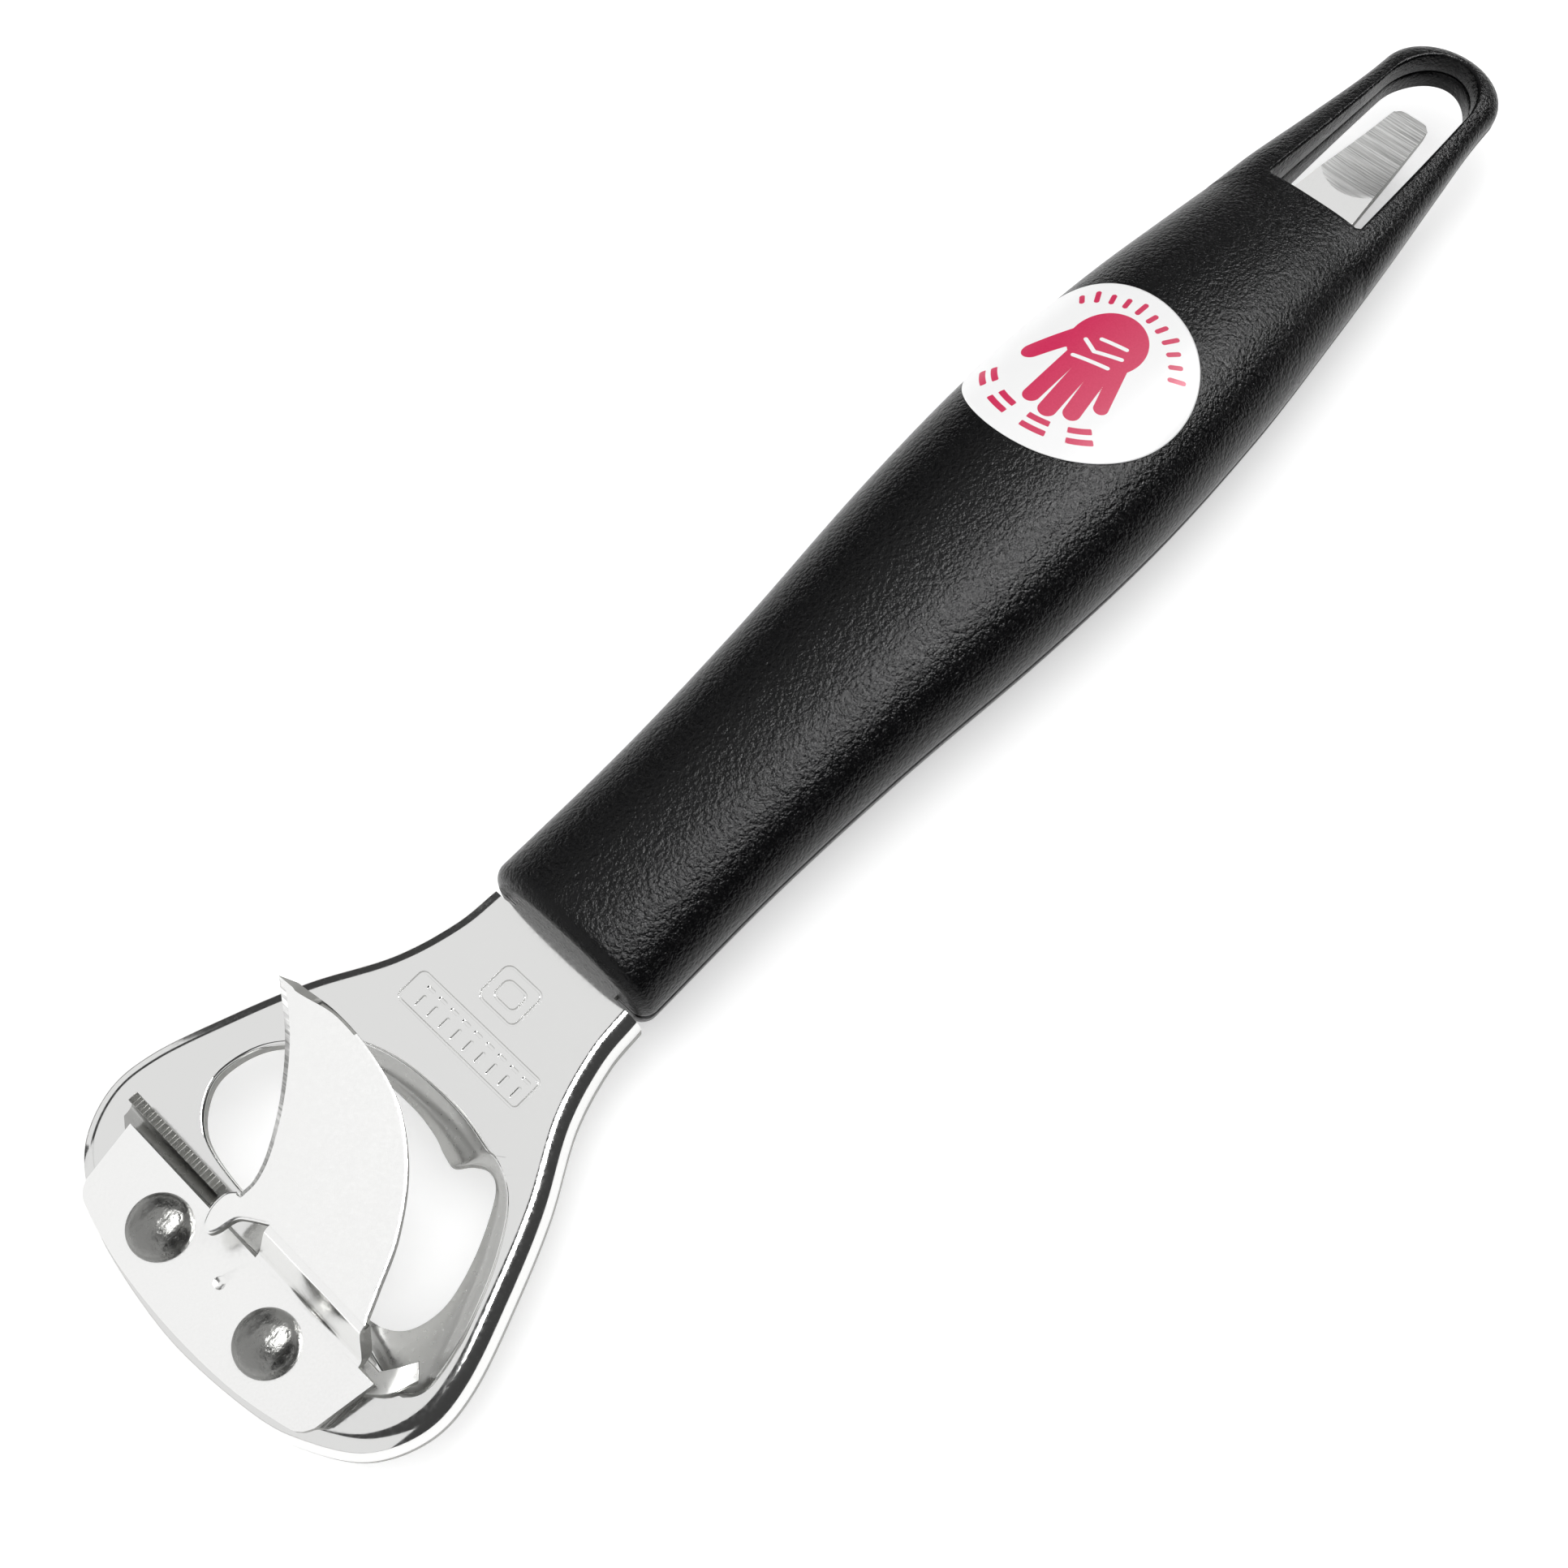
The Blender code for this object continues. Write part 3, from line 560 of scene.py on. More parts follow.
def window_rings():
    """Rings of (points, heights) from the flat face down to the window's edge."""
    centre = np.array(WINDOW_CENTRE)
    edge = spline(WINDOW_EDGE, 10, closed=True)
    flat = spline(WINDOW_FLAT, 12, closed=True)
    bearing = np.array([math.atan2(*(p - centre)[::-1]) for p in flat])
    reach = np.array([np.linalg.norm(p - centre) for p in flat])
    order = np.argsort(bearing)
    angles = even_bearings(edge, centre)
    rings = []
    for inward, down in spline(FUNNEL_PROFILE, 4):
        points, heights = [], []
        for point, angle in zip(edge, angles):
            radius = np.interp(angle, bearing[order], reach[order], period=2 * math.pi)
            start = centre + radius * np.array((math.cos(angle), math.sin(angle)))
            share = funnel_share(angle)
            start = point + (start - point) * (share + (1 - share) * CUT_WIDTH)
            depth = CUT_ROLL + (FUNNEL_DEPTH - CUT_ROLL) * share
            points.append(start + (point - start) * inward)
            heights.append(-depth * (share * down + (1 - share) * inward**2))
        rings.append((points, heights))
    return rings


def rounded_box(box, shrink, radius, steps=5):
    """A rectangle with round corners, shrunk on every side."""
    x0, x1, y0, y1 = box[0] + shrink, box[1] - shrink, box[2] + shrink, box[3] - shrink
    radius = max(radius - shrink, 0.04)
    corners = [(x1, y1, -1, -1), (x0, y1, 1, -1), (x0, y0, 1, 1), (x1, y0, -1, 1)]
    loop = []
    for number, (x, y, side_x, side_y) in enumerate(corners):
        for i in range(steps + 1):
            turn = math.radians(90 * (number + i / steps))
            centre = np.array((x + side_x * radius, y + side_y * radius))
            loop.append(centre + radius * np.array((math.cos(turn), math.sin(turn))))
    return loop


def stamped_slot(bm, box):
    """A stamped recess with a flat floor. Returns its upper loop."""
    radius = min(box[1] - box[0], box[3] - box[2]) / 2 - 0.01
    top = add_verts(bm, rounded_box(box, 0.0, radius), 0.0)
    low = add_verts(bm, rounded_box(box, STAMP_SLOPE, radius), -STAMP_DEPTH)
    join_rows(bm, top, low, closed=True)
    bm.faces.new(low)
    return top


def stamped_frame(bm, box, radius):
    """A stamped outline. Returns the loop round it and the loop of the island inside it."""
    stroke = STAMP_STROKE
    shrinks = [0.0, STAMP_SLOPE, stroke - STAMP_SLOPE, stroke]
    heights = [0.0, -STAMP_DEPTH, -STAMP_DEPTH, 0.0]
    loops = [
        add_verts(bm, rounded_box(box, shrink, radius), height)
        for shrink, height in zip(shrinks, heights)
    ]
    for outer, inner in zip(loops, loops[1:]):
        join_rows(bm, outer, inner, closed=True)
    return loops[0], loops[-1]


def stamped_marks(bm):
    """Two plain frames with slots and a ring, and no lettering. Returns their outer loops."""
    x0, x1, y0, y1 = NAME_FRAME
    name_outer, name_inner = stamped_frame(bm, NAME_FRAME, 0.7)
    slots = []
    for i in range(9):
        left = y0 + 1.0 + 1.55 * i
        slots.append(stamped_slot(bm, (x0 + 0.65, x0 + 2.0, left, left + 0.42)))
        slots.append(stamped_slot(bm, (x1 - 1.15, x1 - 0.8, left - 0.25, left + 0.75)))
    fill_between(bm, [name_inner, *slots])
    seal_outer, seal_inner = stamped_frame(bm, SEAL_FRAME, 0.9)
    x0, x1, y0, y1 = SEAL_FRAME
    ring = (x0 + 1.0, x1 - 1.0, y0 + 1.0, y1 - 1.0)
    ring_outer, ring_inner = stamped_frame(bm, ring, 0.8)
    fill_between(bm, [seal_inner, ring_outer])
    bm.faces.new(ring_inner)
    return name_outer, seal_outer


def rivet_holes(bm, z):
    """Loops of the two rivet holes at a height."""
    radius = RIVET_SHANK + HOLE_CLEARANCE
    return [add_verts(bm, circle(RIVET_STATION, y, radius, 32), z) for y in (RIVET_Y, -RIVET_Y)]


def lifter_half_width(x):
    slope = (TANG_HALF_WIDTH - LIFTER_TIP_HALF_WIDTH) / (LIFTER_TIP - TANG_TAPER_START)
    return TANG_HALF_WIDTH - slope * max(x - TANG_TAPER_START, 0.0)


def lifter_rows(bm):
    """The ground bevel: rows across the lifter, from the bowed start of the grind to its tip."""
    fractions = [-1.0, -0.75, -0.5, -0.25, 0.0, 0.25, 0.5, 0.75, 1.0]
    end = LIFTER_TIP - LIFTER_CORNER
    start = [BEVEL_START - BEVEL_BOW * (1 - f * f) for f in fractions]
    rows = []
    for share in (0.0, 0.06, 0.3, 0.6, 1.0):
        row = []
        for f, first in zip(fractions, start):
            x = first + (end - first) * share
            fall = (x - first) / (LIFTER_TIP - first) * (PLATE_THICKNESS - LIFTER_EDGE)
            hollow = BEVEL_HOLLOW * math.sin(math.pi * share)
            row.append(bm.verts.new(at(x, f * lifter_half_width(x), -fall - hollow)))
        rows.append(row)
    tip = []
    for f in fractions:
        cut = LIFTER_CORNER * 0.75 if abs(f) == 1.0 else (0.1 if abs(f) == 0.75 else 0.0)
        y = f * LIFTER_TIP_HALF_WIDTH * (0.93 if abs(f) == 1.0 else 1.0)
        tip.append(bm.verts.new(at(LIFTER_TIP - cut, y, LIFTER_EDGE - PLATE_THICKNESS)))
    rows.append(tip)
    for upper, lower in zip(rows, rows[1:]):
        join_rows(bm, upper, lower)
    ground = [face for row in rows[1:] for vert in row for face in vert.link_faces]
    for face in set(ground):
        face.material_index = 2
    return rows


def build_head_plate(opener):
    steel = opener.steel
    bm = bmesh.new()
    outline = head_outline(10)
    radius = steel.rim_radius / MM
    rings = []
    for i in range(RIM_STEPS + 1):
        turn = math.radians(90 * i / RIM_STEPS)
        ring = inset(outline, [radius * (1 - math.sin(turn))] * len(outline))
        rings.append(add_verts(bm, ring, -radius * (1 - math.cos(turn))))
    for depth in RIM_WALL:
        rings.append(add_verts(bm, outline, -depth))
    for upper, lower in zip(rings, rings[1:]):
        join_rows(bm, upper, lower)
    per_row = len(outline) - 1
    bm.faces.ensure_lookup_table()
    for face in bm.faces[per_row * RIM_STEPS :]:
        face.material_index = 1

    bevel = lifter_rows(bm)
    left_end, right_end = bevel[0][-1], bevel[0][0]
    stations = [HEAD_LENGTH, TANG_TAPER_START, TANG_END]
    right = add_verts(bm, [(x, -lifter_half_width(x)) for x in stations], 0.0)
    left = add_verts(bm, [(x, lifter_half_width(x)) for x in reversed(stations)], 0.0)
    middle = bevel[0][1:-1]

    window = [add_verts(bm, points, heights) for points, heights in window_rings()]
    first_funnel_face = len(bm.faces)
    for upper, lower in zip(window, window[1:]):
        join_rows(bm, upper, lower, closed=True)
    # Faces below FUNNEL_START take the satin material, whose darker colour is painted shade in the
    # window's recess.
    bm.faces.ensure_lookup_table()
    for face in bm.faces[first_funnel_face:]:
        if min(vert.co.z for vert in face.verts) < PLATE_TOP - FUNNEL_START * MM:
            face.material_index = 3
    marks = stamped_marks(bm)
    holes = rivet_holes(bm, 0.0)
    loop = rings[0] + right + [right_end, *middle, left_end] + left
    fill_between(bm, [loop, window[0], *marks, *holes])
    thickness = steel.plate_thickness / MM
    depths = dict.fromkeys(window[-1], thickness)
    depths.update(dict.fromkeys(bevel[-1], LIFTER_EDGE))
    thicken(bm, thickness, depths)
    materials = [
        polished_stainless(steel.plate_colour),
        sheared_stainless(steel.edge_colour),
        ground_stainless(steel.plate_colour),
        # The slope's darker colour is painted shade in the recess round the window.
        drawn_stainless(steel.funnel_shaded_colour),
    ]
    piece = sheet_piece("head_plate_sheet", bm, materials, 0.06)
    declare(piece, "head_plate")
    return piece


def strip_outline():
    """The riveted strip without its fold, from the left corner round the head's end."""
    left = [STRIP_CORNER, *reversed(STRIP_HALF)]
    right = [(x, -y) for x, y in STRIP_HALF[1:]] + [(STRIP_CORNER[0], -STRIP_CORNER[1])]
    middle = spline(left[1:] + right[:-1], 8)
    return [np.array(STRIP_CORNER)] + middle + [np.array(right[-1])]


def blade_free_edge():
    """From the riser's left end, round the nose, the cutting edge, the tip and the back."""
    top = FOLD_STATION + RISER_PATH[-1][0]
    nose = spline([(top, RISER_FROM), *reversed(NOSE), CUTTING_EDGE[-1]], 8)
    cutting = spline(list(reversed(CUTTING_EDGE)), 12)
    back = spline([*reversed(BACK_EDGE), (top, RISER_TO + RISER_FLARE)], 8)
    first_cut = len(nose) - 1
    return nose[:-1] + cutting + back, range(first_cut, first_cut + len(cutting))


def blade_edge(edge, ground, grind, thickness):
    """For each point of the free edge: how far in its bevel reaches, and both edges' drops."""
    steps = [np.linalg.norm(b - a) for a, b in zip(edge, edge[1:])]
    along = np.concatenate(([0.0], np.cumsum(steps)))
    tip = ground[-1]
    widths, drops, inner_drops = [], [], []
    for i, point in enumerate(edge):
        near_tip = smooth_share((point[1] - 8.0) / 5.0) if i > tip else 0.0
        full_width = grind if i in ground else 0.3 + 0.5 * near_tip
        drop = thickness - EDGE_THICKNESS if i in ground else 0.16 + 0.6 * near_tip
        width = max(min(full_width, abs(along[i] - along[tip]) * 0.35), 0.03)
        widths.append(width)
        drops.append(drop)
        inner_drops.append(drop * (1 - width / full_width))
    return widths, drops, inner_drops


def build_blade(opener):
    steel = opener.steel
    thickness = steel.blade_thickness / MM
    bm = bmesh.new()
    edge, ground = blade_free_edge()
    grind = steel.grind_width / MM
    widths, drops, inner_drops = blade_edge(edge, ground, grind, thickness)
    widths[0] = widths[-1] = 0.0
    drops[0] = drops[-1] = 0.05
    inner = inset(edge, [-width for width in widths])
    inner[0] = edge[0] + np.array((0.0, -RISER_SIDE))
    inner[-1] = edge[-1] + np.array((0.0, RISER_SIDE))
    outer_verts = add_verts(bm, edge, [BLADE_TOP - drop for drop in drops])
    inner_verts = add_verts(bm, inner, [BLADE_TOP - drop for drop in inner_drops])
    join_rows(bm, outer_verts, inner_verts)
    bm.faces.ensure_lookup_table()
    for i in ground[:-1]:
        bm.faces[i].material_index = 2
    for face in bm.faces[ground[-1] : ground[-1] + TIP_FACES]:
        face.material_index = 3
    bm.faces.new(inner_verts)
    depths = {}
    for verts, falls in ((outer_verts, drops), (inner_verts, inner_drops)):
        for vert, fall in zip(verts[1:-1], falls[1:-1]):
            depths[vert] = thickness - fall

    upper = [outer_verts[0], inner_verts[0], inner_verts[-1], outer_verts[-1]]
    columns = [RISER_FROM, RISER_FROM - RISER_SIDE, RISER_TO + RISER_SIDE, RISER_TO]
    path = spline(RISER_PATH, 5)
    rise = (BLADE_TOP - STRIP_TOP) / RISER_PATH[-1][1]
    for across, height in reversed(path[:-1]):
        flare = RISER_FLARE * min(height / RISER_PATH[-1][1], 1.0)
        ends = [0.0, 0.0, flare, flare]
        row = [(FOLD_STATION + across, y + end) for y, end in zip(columns, ends)]
        lower = add_verts(bm, row, STRIP_TOP + height * rise)
        join_rows(bm, upper, lower)
        upper = lower
    outline = add_verts(bm, strip_outline(), STRIP_TOP)
    holes = rivet_holes(bm, STRIP_TOP)
    dot = [
        add_verts(bm, circle(RIVET_STATION + 0.45, -0.3, radius, 23), STRIP_TOP - depth)
        for radius, depth in ((0.6, 0.0), (0.52, 0.03), (0.3, 0.13), (0.12, 0.17))
    ]
    for outer, deeper in zip(dot, dot[1:]):
        join_rows(bm, outer, deeper, closed=True)
    bm.faces.new(dot[-1])
    fill_between(bm, [outline + list(reversed(upper)), *holes, dot[0]])
    thicken(bm, thickness, depths)
    materials = [
        bright_blade_steel(steel.blade_colour),
        sheared_stainless(steel.edge_colour),
        ground_stainless(steel.blade_colour),
        drawn_stainless(steel.edge_colour),
    ]
    piece = sheet_piece("blade_folded", bm, materials, 0.07)
    declare(piece, "blade")
    return piece


def build_grip_plate(opener):
    steel = opener.steel
    bm = bmesh.new()
    bend = LEDGE_STATION - GRIP_EDGE
    per_tooth = 4
    count = LEDGE_TEETH * per_tooth + 1
    ys = [LEDGE_TO + (LEDGE_FROM - LEDGE_TO) * i / (count - 1) for i in range(count)]
    rows = []
    for i in range(9):
        turn = math.radians(90 * i / 8)
        x = GRIP_EDGE + bend * math.sin(turn)
        rows.append(add_verts(bm, [(x, y) for y in ys], GRIP_TOP + bend * (1 - math.cos(turn))))
    tooth = [0.0, 0.45, 1.0, 0.45]
    tops = [LEDGE_HEIGHT - TOOTH_DEPTH * tooth[i % per_tooth] for i in range(count)]
    rows.append(add_verts(bm, [(LEDGE_STATION, y) for y in ys], tops))
    for lower, upper in zip(rows, rows[1:]):
        join_rows(bm, lower, upper)

    front = spline([row[0] for row in WING], 4)
    back = spline([row[1] for row in WING], 4)
    wing = [[bm.verts.new(at(*a)), bm.verts.new(at(*b))] for a, b in zip(front, back)]
    for near, far in zip(wing, wing[1:]):
        join_rows(bm, near, far)
    outer = add_verts(bm, GRIP_OUTLINE, GRIP_TOP)
    inner = add_verts(bm, [(GRIP_EDGE + 0.9, -12.0), (GRIP_EDGE, 4.6)], GRIP_TOP)
    holes = rivet_holes(bm, GRIP_TOP)
    loop = outer + [wing[0][1], wing[0][0]] + inner + list(reversed(rows[0]))
    fill_between(bm, [loop, *holes])
    materials = [drawn_stainless(steel.grip_colour), sheared_stainless(steel.edge_colour)]
    thicken(bm, steel.grip_thickness / MM)
    piece = sheet_piece("grip_plate_toothed", bm, materials, 0.07)
    declare(piece, "grip_plate")
    return piece


def rivet_profile():
    """Radius and height down a rivet: a dome with a soft flat left by the setting tool."""
    head = STRIP_TOP + RIVET_SEAT
    tail = -PLATE_THICKNESS - RIVET_SEAT
    profile = [(0.0, head + RIVET_DOME)]
    for i in range(1, 25):
        turn = math.radians(90 * i / 24)
        height = RIVET_DOME * math.cos(turn) ** 0.92
        profile.append((RIVET_HEAD * math.sin(turn), head + height))
    profile += [
        (RIVET_HEAD - 0.06, head - 0.03),
        (RIVET_SHANK, head - 0.03),
        (RIVET_SHANK, tail),
        (RIVET_TAIL - 0.08, tail),
        (RIVET_TAIL, tail - 0.08),
        (RIVET_TAIL - 0.1, tail - RIVET_TAIL_HEIGHT + 0.22),
        (RIVET_TAIL - 0.35, tail - RIVET_TAIL_HEIGHT + 0.04),
        (RIVET_TAIL - 0.6, tail - RIVET_TAIL_HEIGHT),
        (0.0, tail - RIVET_TAIL_HEIGHT),
    ]
    return profile


def build_rivet(opener, side, y):
    bm = bmesh.new()
    turns = [2 * math.pi * i / RIVET_SIDES for i in range(RIVET_SIDES)]
    (_, top), *profile, (_, bottom) = rivet_profile()
    rings = []
    for radius, z in profile:
        ring = [(radius * math.cos(turn), radius * math.sin(turn), z) for turn in turns]
        rings.append([bm.verts.new(Vector(point) * MM) for point in ring])
    for upper, lower in zip(rings, rings[1:]):
        join_rows(bm, upper, lower, closed=True)
    for ring, z in ((rings[0], top), (rings[-1], bottom)):
        middle = bm.verts.new((0.0, 0.0, z * MM))
        for first, second in zip(ring, ring[1:] + ring[:1]):
            bm.faces.new((middle, first, second))
    bmesh.ops.recalc_face_normals(bm, faces=bm.faces)
    material = bpy.data.materials.get("rivet_wire_cold_headed")
    material = material or rivet_steel(opener.steel.rivet_colour)
    piece = new_piece(f"rivet_{side}_domed", bm, [material])
    piece.location = at(RIVET_STATION, y, 0.0)
    declare(piece, f"rivet_{side}")
    return piece


# --- moulded handle

HANDLE_TABLE = np.array(spline(HANDLE_STATIONS, 8))
TIP_CENTRE = OVERALL_LENGTH - TIP_ROUND


def handle_size(x):
    """Half-width, rise and drop of the handle at a station."""
    size = np.array([np.interp(x, HANDLE_TABLE[:, 0], HANDLE_TABLE[:, i]) for i in (1, 2, 3)])
    front = FRONT_ROUND - (x - HANDLE_FRONT)
    if front > 0:
        size -= FRONT_ROUND - math.sqrt(FRONT_ROUND**2 - front**2)
    size[2] = min(size[2], (PLATE_TOP - GROUND) / MM + PARTING)
    return size


def crown(reach, power):
    """Height of the section, as a share of its full height, at a share of its half-width."""
    return max(1 - min(reach, 1.0) ** power, 0.0) ** (1 / power)


def skin(x, y, upper):
    """Distance of the moulded surface from the parting plane over a point in plan."""
    width, rise, drop = handle_size(x)
    if x > TIP_CENTRE:
        width = handle_size(TIP_CENTRE)[0]
        reach = math.hypot(y / width, (x - TIP_CENTRE) / TIP_ROUND)
    else:
        reach = abs(y) / width
    if not upper:
        return drop * crown(reach, SECTION_POWER)
    share = smooth_share((x - RING_START) / EYE_BLEND)
    return rise * crown(reach, SECTION_POWER + EYE_FULLNESS * share)


def body_section(x, upper, count):
    """Rows of (y, height) over the section, and the chamfered foot at the parting plane."""
    width, rise, drop = handle_size(x)
    height = rise if upper else drop
    first = math.asin((FOOT_TOP / height) ** (SECTION_POWER / 2))
    points = []
    for j in range(count + 1):
        turn = first + (math.pi - 2 * first) * j / count
        across = math.copysign(abs(math.cos(turn)) ** (2 / SECTION_POWER), math.cos(turn))
        points.append((width * across, height * math.sin(turn) ** (2 / SECTION_POWER)))
    return points


def eye_lines(count, upper):
    """Pairs of plan points, from the eye's edge out to the silhouette, once round the eye."""
    section_points = body_section(RING_START, upper, count)
    width = section_points[0][0]
    corner = 0.5
    front_x, front_y = EYE_FRONT
    lines = []
    for y, _ in reversed(section_points):
        lines.append(((front_x, (front_y - corner) * y / width), (RING_START, y), True))
    steps, arc = 26, 30
    start = front_x + corner * 0.9
    slope = (EYE_BACK[1] - front_y) / (EYE_BACK[0] - front_x)
    side = []
    for n in range(steps):
        inner_x = start + (EYE_BACK[0] - start) * n / (steps - 1)
        inner_y = front_y + slope * (inner_x - front_x)
        outer_x = RING_START + (TIP_CENTRE - RING_START) * (n + 1) / steps
        side.append(((inner_x, inner_y), (outer_x, handle_size(outer_x)[0]), False))
    tip_width = handle_size(TIP_CENTRE)[0]
    tip = []
    for n in range(1, arc):
        turn = math.pi * n / arc
        reach = (EYE_END - EYE_BACK[0]) * math.sin(turn)
        inner = (EYE_BACK[0] + reach, EYE_BACK[1] * math.cos(turn))
        outer = (TIP_CENTRE + TIP_ROUND * math.sin(turn), tip_width * math.cos(turn))
        tip.append((inner, outer, False))
    other = [((a[0], -a[1]), (b[0], -b[1]), False) for a, b, _ in reversed(side)]
    return lines + side + tip + other


def line_profile(inner, outer, is_front, upper):
    """Points from the eye's wall at the parting plane, over the surface, to the silhouette."""
    inner, outer = np.array(inner), np.array(outer)
    length = np.linalg.norm(outer - inner)
    along = (outer - inner) / length
    wall = (skin(*inner, upper) - EYE_ROUND + PARTING_GAP) / 2
    points = [(*(inner + along * FOOT_INSET), PARTING_GAP), (*inner, FOOT_TOP), (*inner, wall)]
    for i in range(5):
        turn = math.radians(22.5 * i)
        spot = inner + along * EYE_ROUND * (1 - math.cos(turn))
        points.append((*spot, skin(*spot, upper) - EYE_ROUND * (1 - math.sin(turn))))
    rows = 20
    for i in range(1, rows):
        share = i / rows
        share = share if is_front else math.sin(share * math.pi / 2) ** 0.9
        spot = inner + along * (EYE_ROUND + (length - EYE_ROUND) * share)
        points.append((*spot, max(skin(*spot, upper), FOOT_TOP)))
    return points


def build_shell(opener, upper):
    """One half of the handle: a loft over the grip, closed below, and a ring round the eye."""
    side = 1 if upper else -1
    count = 56
    bm = bmesh.new()

    def vert(x, y, height):
        return bm.verts.new(at(x, y, PARTING + side * height))

    front = [HANDLE_FRONT + FRONT_ROUND * (1 - math.cos(math.radians(9 * i))) for i in range(11)]
    body = list(np.linspace(HANDLE_FRONT + FRONT_ROUND, RING_START, 76))[1:]
    tops, feet = [], []
    for x in front + body:
        points = body_section(x, upper, count)
        tops.append([vert(x, y, z) for y, z in points])
        pull = 1 - FOOT_INSET / points[0][0]
        feet.append([vert(x, y * pull, PARTING_GAP) for y, _ in points])
    for rows in (tops, feet):
        for left, right in zip(rows, rows[1:]):
            join_rows(bm, left, right)
    for end in (0, -1):
        join_rows(bm, [row[end] for row in tops], [row[end] for row in feet])
    join_rows(bm, tops[0], feet[0])

    lines = []
    last = len(tops[-1]) - 1
    for k, (inner, outer, is_front) in enumerate(eye_lines(count, upper)):
        column = [vert(*point) for point in line_profile(inner, outer, is_front, upper)]
        if is_front:
            column += [tops[-1][last - k], feet[-1][last - k]]
        else:
            outward = np.subtract(outer, inner)
            pull = outer - FOOT_INSET * outward / np.linalg.norm(outward)
            column += [vert(*outer, FOOT_TOP), vert(*pull, PARTING_GAP)]
        lines.append((column, is_front))
    for (a, a_front), (b, b_front) in zip(lines, lines[1:] + lines[:1]):
        size = len(a)
        for i in range(size - 2):
            bm.faces.new((a[i], a[i + 1], b[i + 1], b[i]))
        if not (a_front and b_front):
            bm.faces.new((a[size - 2], a[size - 1], b[size - 1], b[size - 2]))
        bm.faces.new((a[size - 1], a[0], b[0], b[size - 1]))
    bmesh.ops.recalc_face_normals(bm, faces=bm.faces)
    half = "upper" if upper else "lower"
    material = bpy.data.materials.get("polypropylene_moulded_grained")
    material = material or moulded_black(opener.handle.colour)
    piece = new_piece(f"handle_{half}_moulding", bm, [material], sharp=50.0)
    declare(piece, f"handle_{half}_shell")
    return piece


# --- label


def wrapped(x, arc, lift):
    """A point on the upper moulding, an arc length round from the crest, lifted off the surface."""
    points = np.array(body_section(x, True, 96))
    steps = np.linalg.norm(np.diff(points, axis=0), axis=1)
    along = np.concatenate(([0.0], np.cumsum(steps)))
    target = along[-1] / 2 - arc
    near = [target - 0.3, target, target + 0.3]
    y = np.interp(near, along, points[:, 0])
    z = np.interp(near, along, points[:, 1])
    ahead, up = y[2] - y[0], z[2] - z[0]
    length = math.hypot(ahead, up)
    return x, y[1] + lift * up / length, PARTING + z[1] - lift * ahead / length


def bar_depth(point, start, end, radius):
    """Distance into a bar with round ends. Negative outside it."""
    start, end = np.array(start), np.array(end)
    span = end - start
    share = np.clip(np.dot(point - start, span) / max(np.dot(span, span), 1e-9), 0.0, 1.0)
    return radius - np.linalg.norm(point - start - span * share)


def hand_depth(point):
    """Distance into an open left hand, fingers toward the head, with its creases left white."""
    palm = 3.9 - np.linalg.norm((point - np.array((3.9, -0.6))) * np.array((0.88, 0.94)))
    fingers = [
        ((2.6, -3.4), (-3.4, -5.2), 0.8),
        ((1.6, -2.3), (-5.9, -3.4), 0.95),
        ((1.4, -0.6), (-7.1, -1.2), 1.0),
        ((1.4, 1.1), (-6.6, 1.2), 0.95),
        ((4.0, 1.9), (-1.4, 5.2), 1.15),
    ]
    depth = max([palm] + [bar_depth(point, *finger) for finger in fingers])
    creases = [
        ((1.1, -2.6), (0.3, 1.2)),
        ((3.0, -3.0), (2.0, -0.2)),
        ((2.0, -0.2), (2.9, 1.5)),
        ((4.4, -2.6), (3.9, 0.2)),
    ]
    for start, end in creases:
        depth = min(depth, -bar_depth(point, start, end, 0.24))
    return depth


def border_depth(point):
    """Distance into the marks round the hand: a row of short bars and four pairs of long ones."""
    radius = np.linalg.norm(point)
    angle = math.degrees(math.atan2(point[1], point[0]))
    depth = -1.0
    for i in range(11):
        turn = math.radians(-60 + 9.6 * i)
        out = np.array((math.cos(turn), math.sin(turn)))
        reach = 10.75 if i % 3 == 0 else 10.35
        depth = max(depth, bar_depth(point, 9.3 * out, reach * out, 0.3))
    for middle in (133, 161, 189, 217):
        away = (angle - middle + 180) % 360 - 180
        within = math.radians(8.0 - abs(away)) * radius
        for line in (8.9, 10.2):
            depth = max(depth, min(0.36 - abs(radius - line), within))
    return depth


def build_label(opener):
    label = opener.label
    radius = label.radius / MM
    rings, sides = 84, 260
    bm = bmesh.new()
    ink = bm.verts.layers.float.new("ink")

    def printed(x, arc):
        lift = LABEL_THICKNESS + LABEL_GLUE
        vert = bm.verts.new(at(*wrapped(LABEL_STATION + x, LABEL_ARC + arc, lift)))
        spot = np.array((x, arc))
        vert[ink] = max(hand_depth(spot), border_depth(spot))
        return vert

    centre = printed(0.0, 0.0)
    turns = [2 * math.pi * i / sides for i in range(sides)]
    rows = []
    for ring in range(1, rings + 1):
        reach = radius * ring / rings
        rows.append([printed(reach * math.cos(a), reach * math.sin(a)) for a in turns])
    for inner, outer in zip(rows, rows[1:]):
        join_rows(bm, inner, outer, closed=True)
    for i in range(sides):
        bm.faces.new((centre, rows[0][i], rows[0][(i + 1) % sides]))
    face_upward(bm)
    paper = printed_paper(label.paper_colour, label.ink_colour)
    piece = new_piece("label_round", bm, [paper])
    solid = piece.modifiers.new("paper", "SOLIDIFY")
    solid.thickness = LABEL_THICKNESS * MM
    solid.offset = -1
    declare(piece, "label")
    return piece


# --- stage


def aim(obj, target, roll=0.0):
    direction = (target - obj.location).normalized()
    spin = Matrix.Rotation(math.radians(roll), 4, "Z")
    obj.matrix_world = (
        Matrix.Translation(obj.location)
        @ direction.to_track_quat("-Z", "Y").to_matrix().to_4x4()
        @ spin
    )


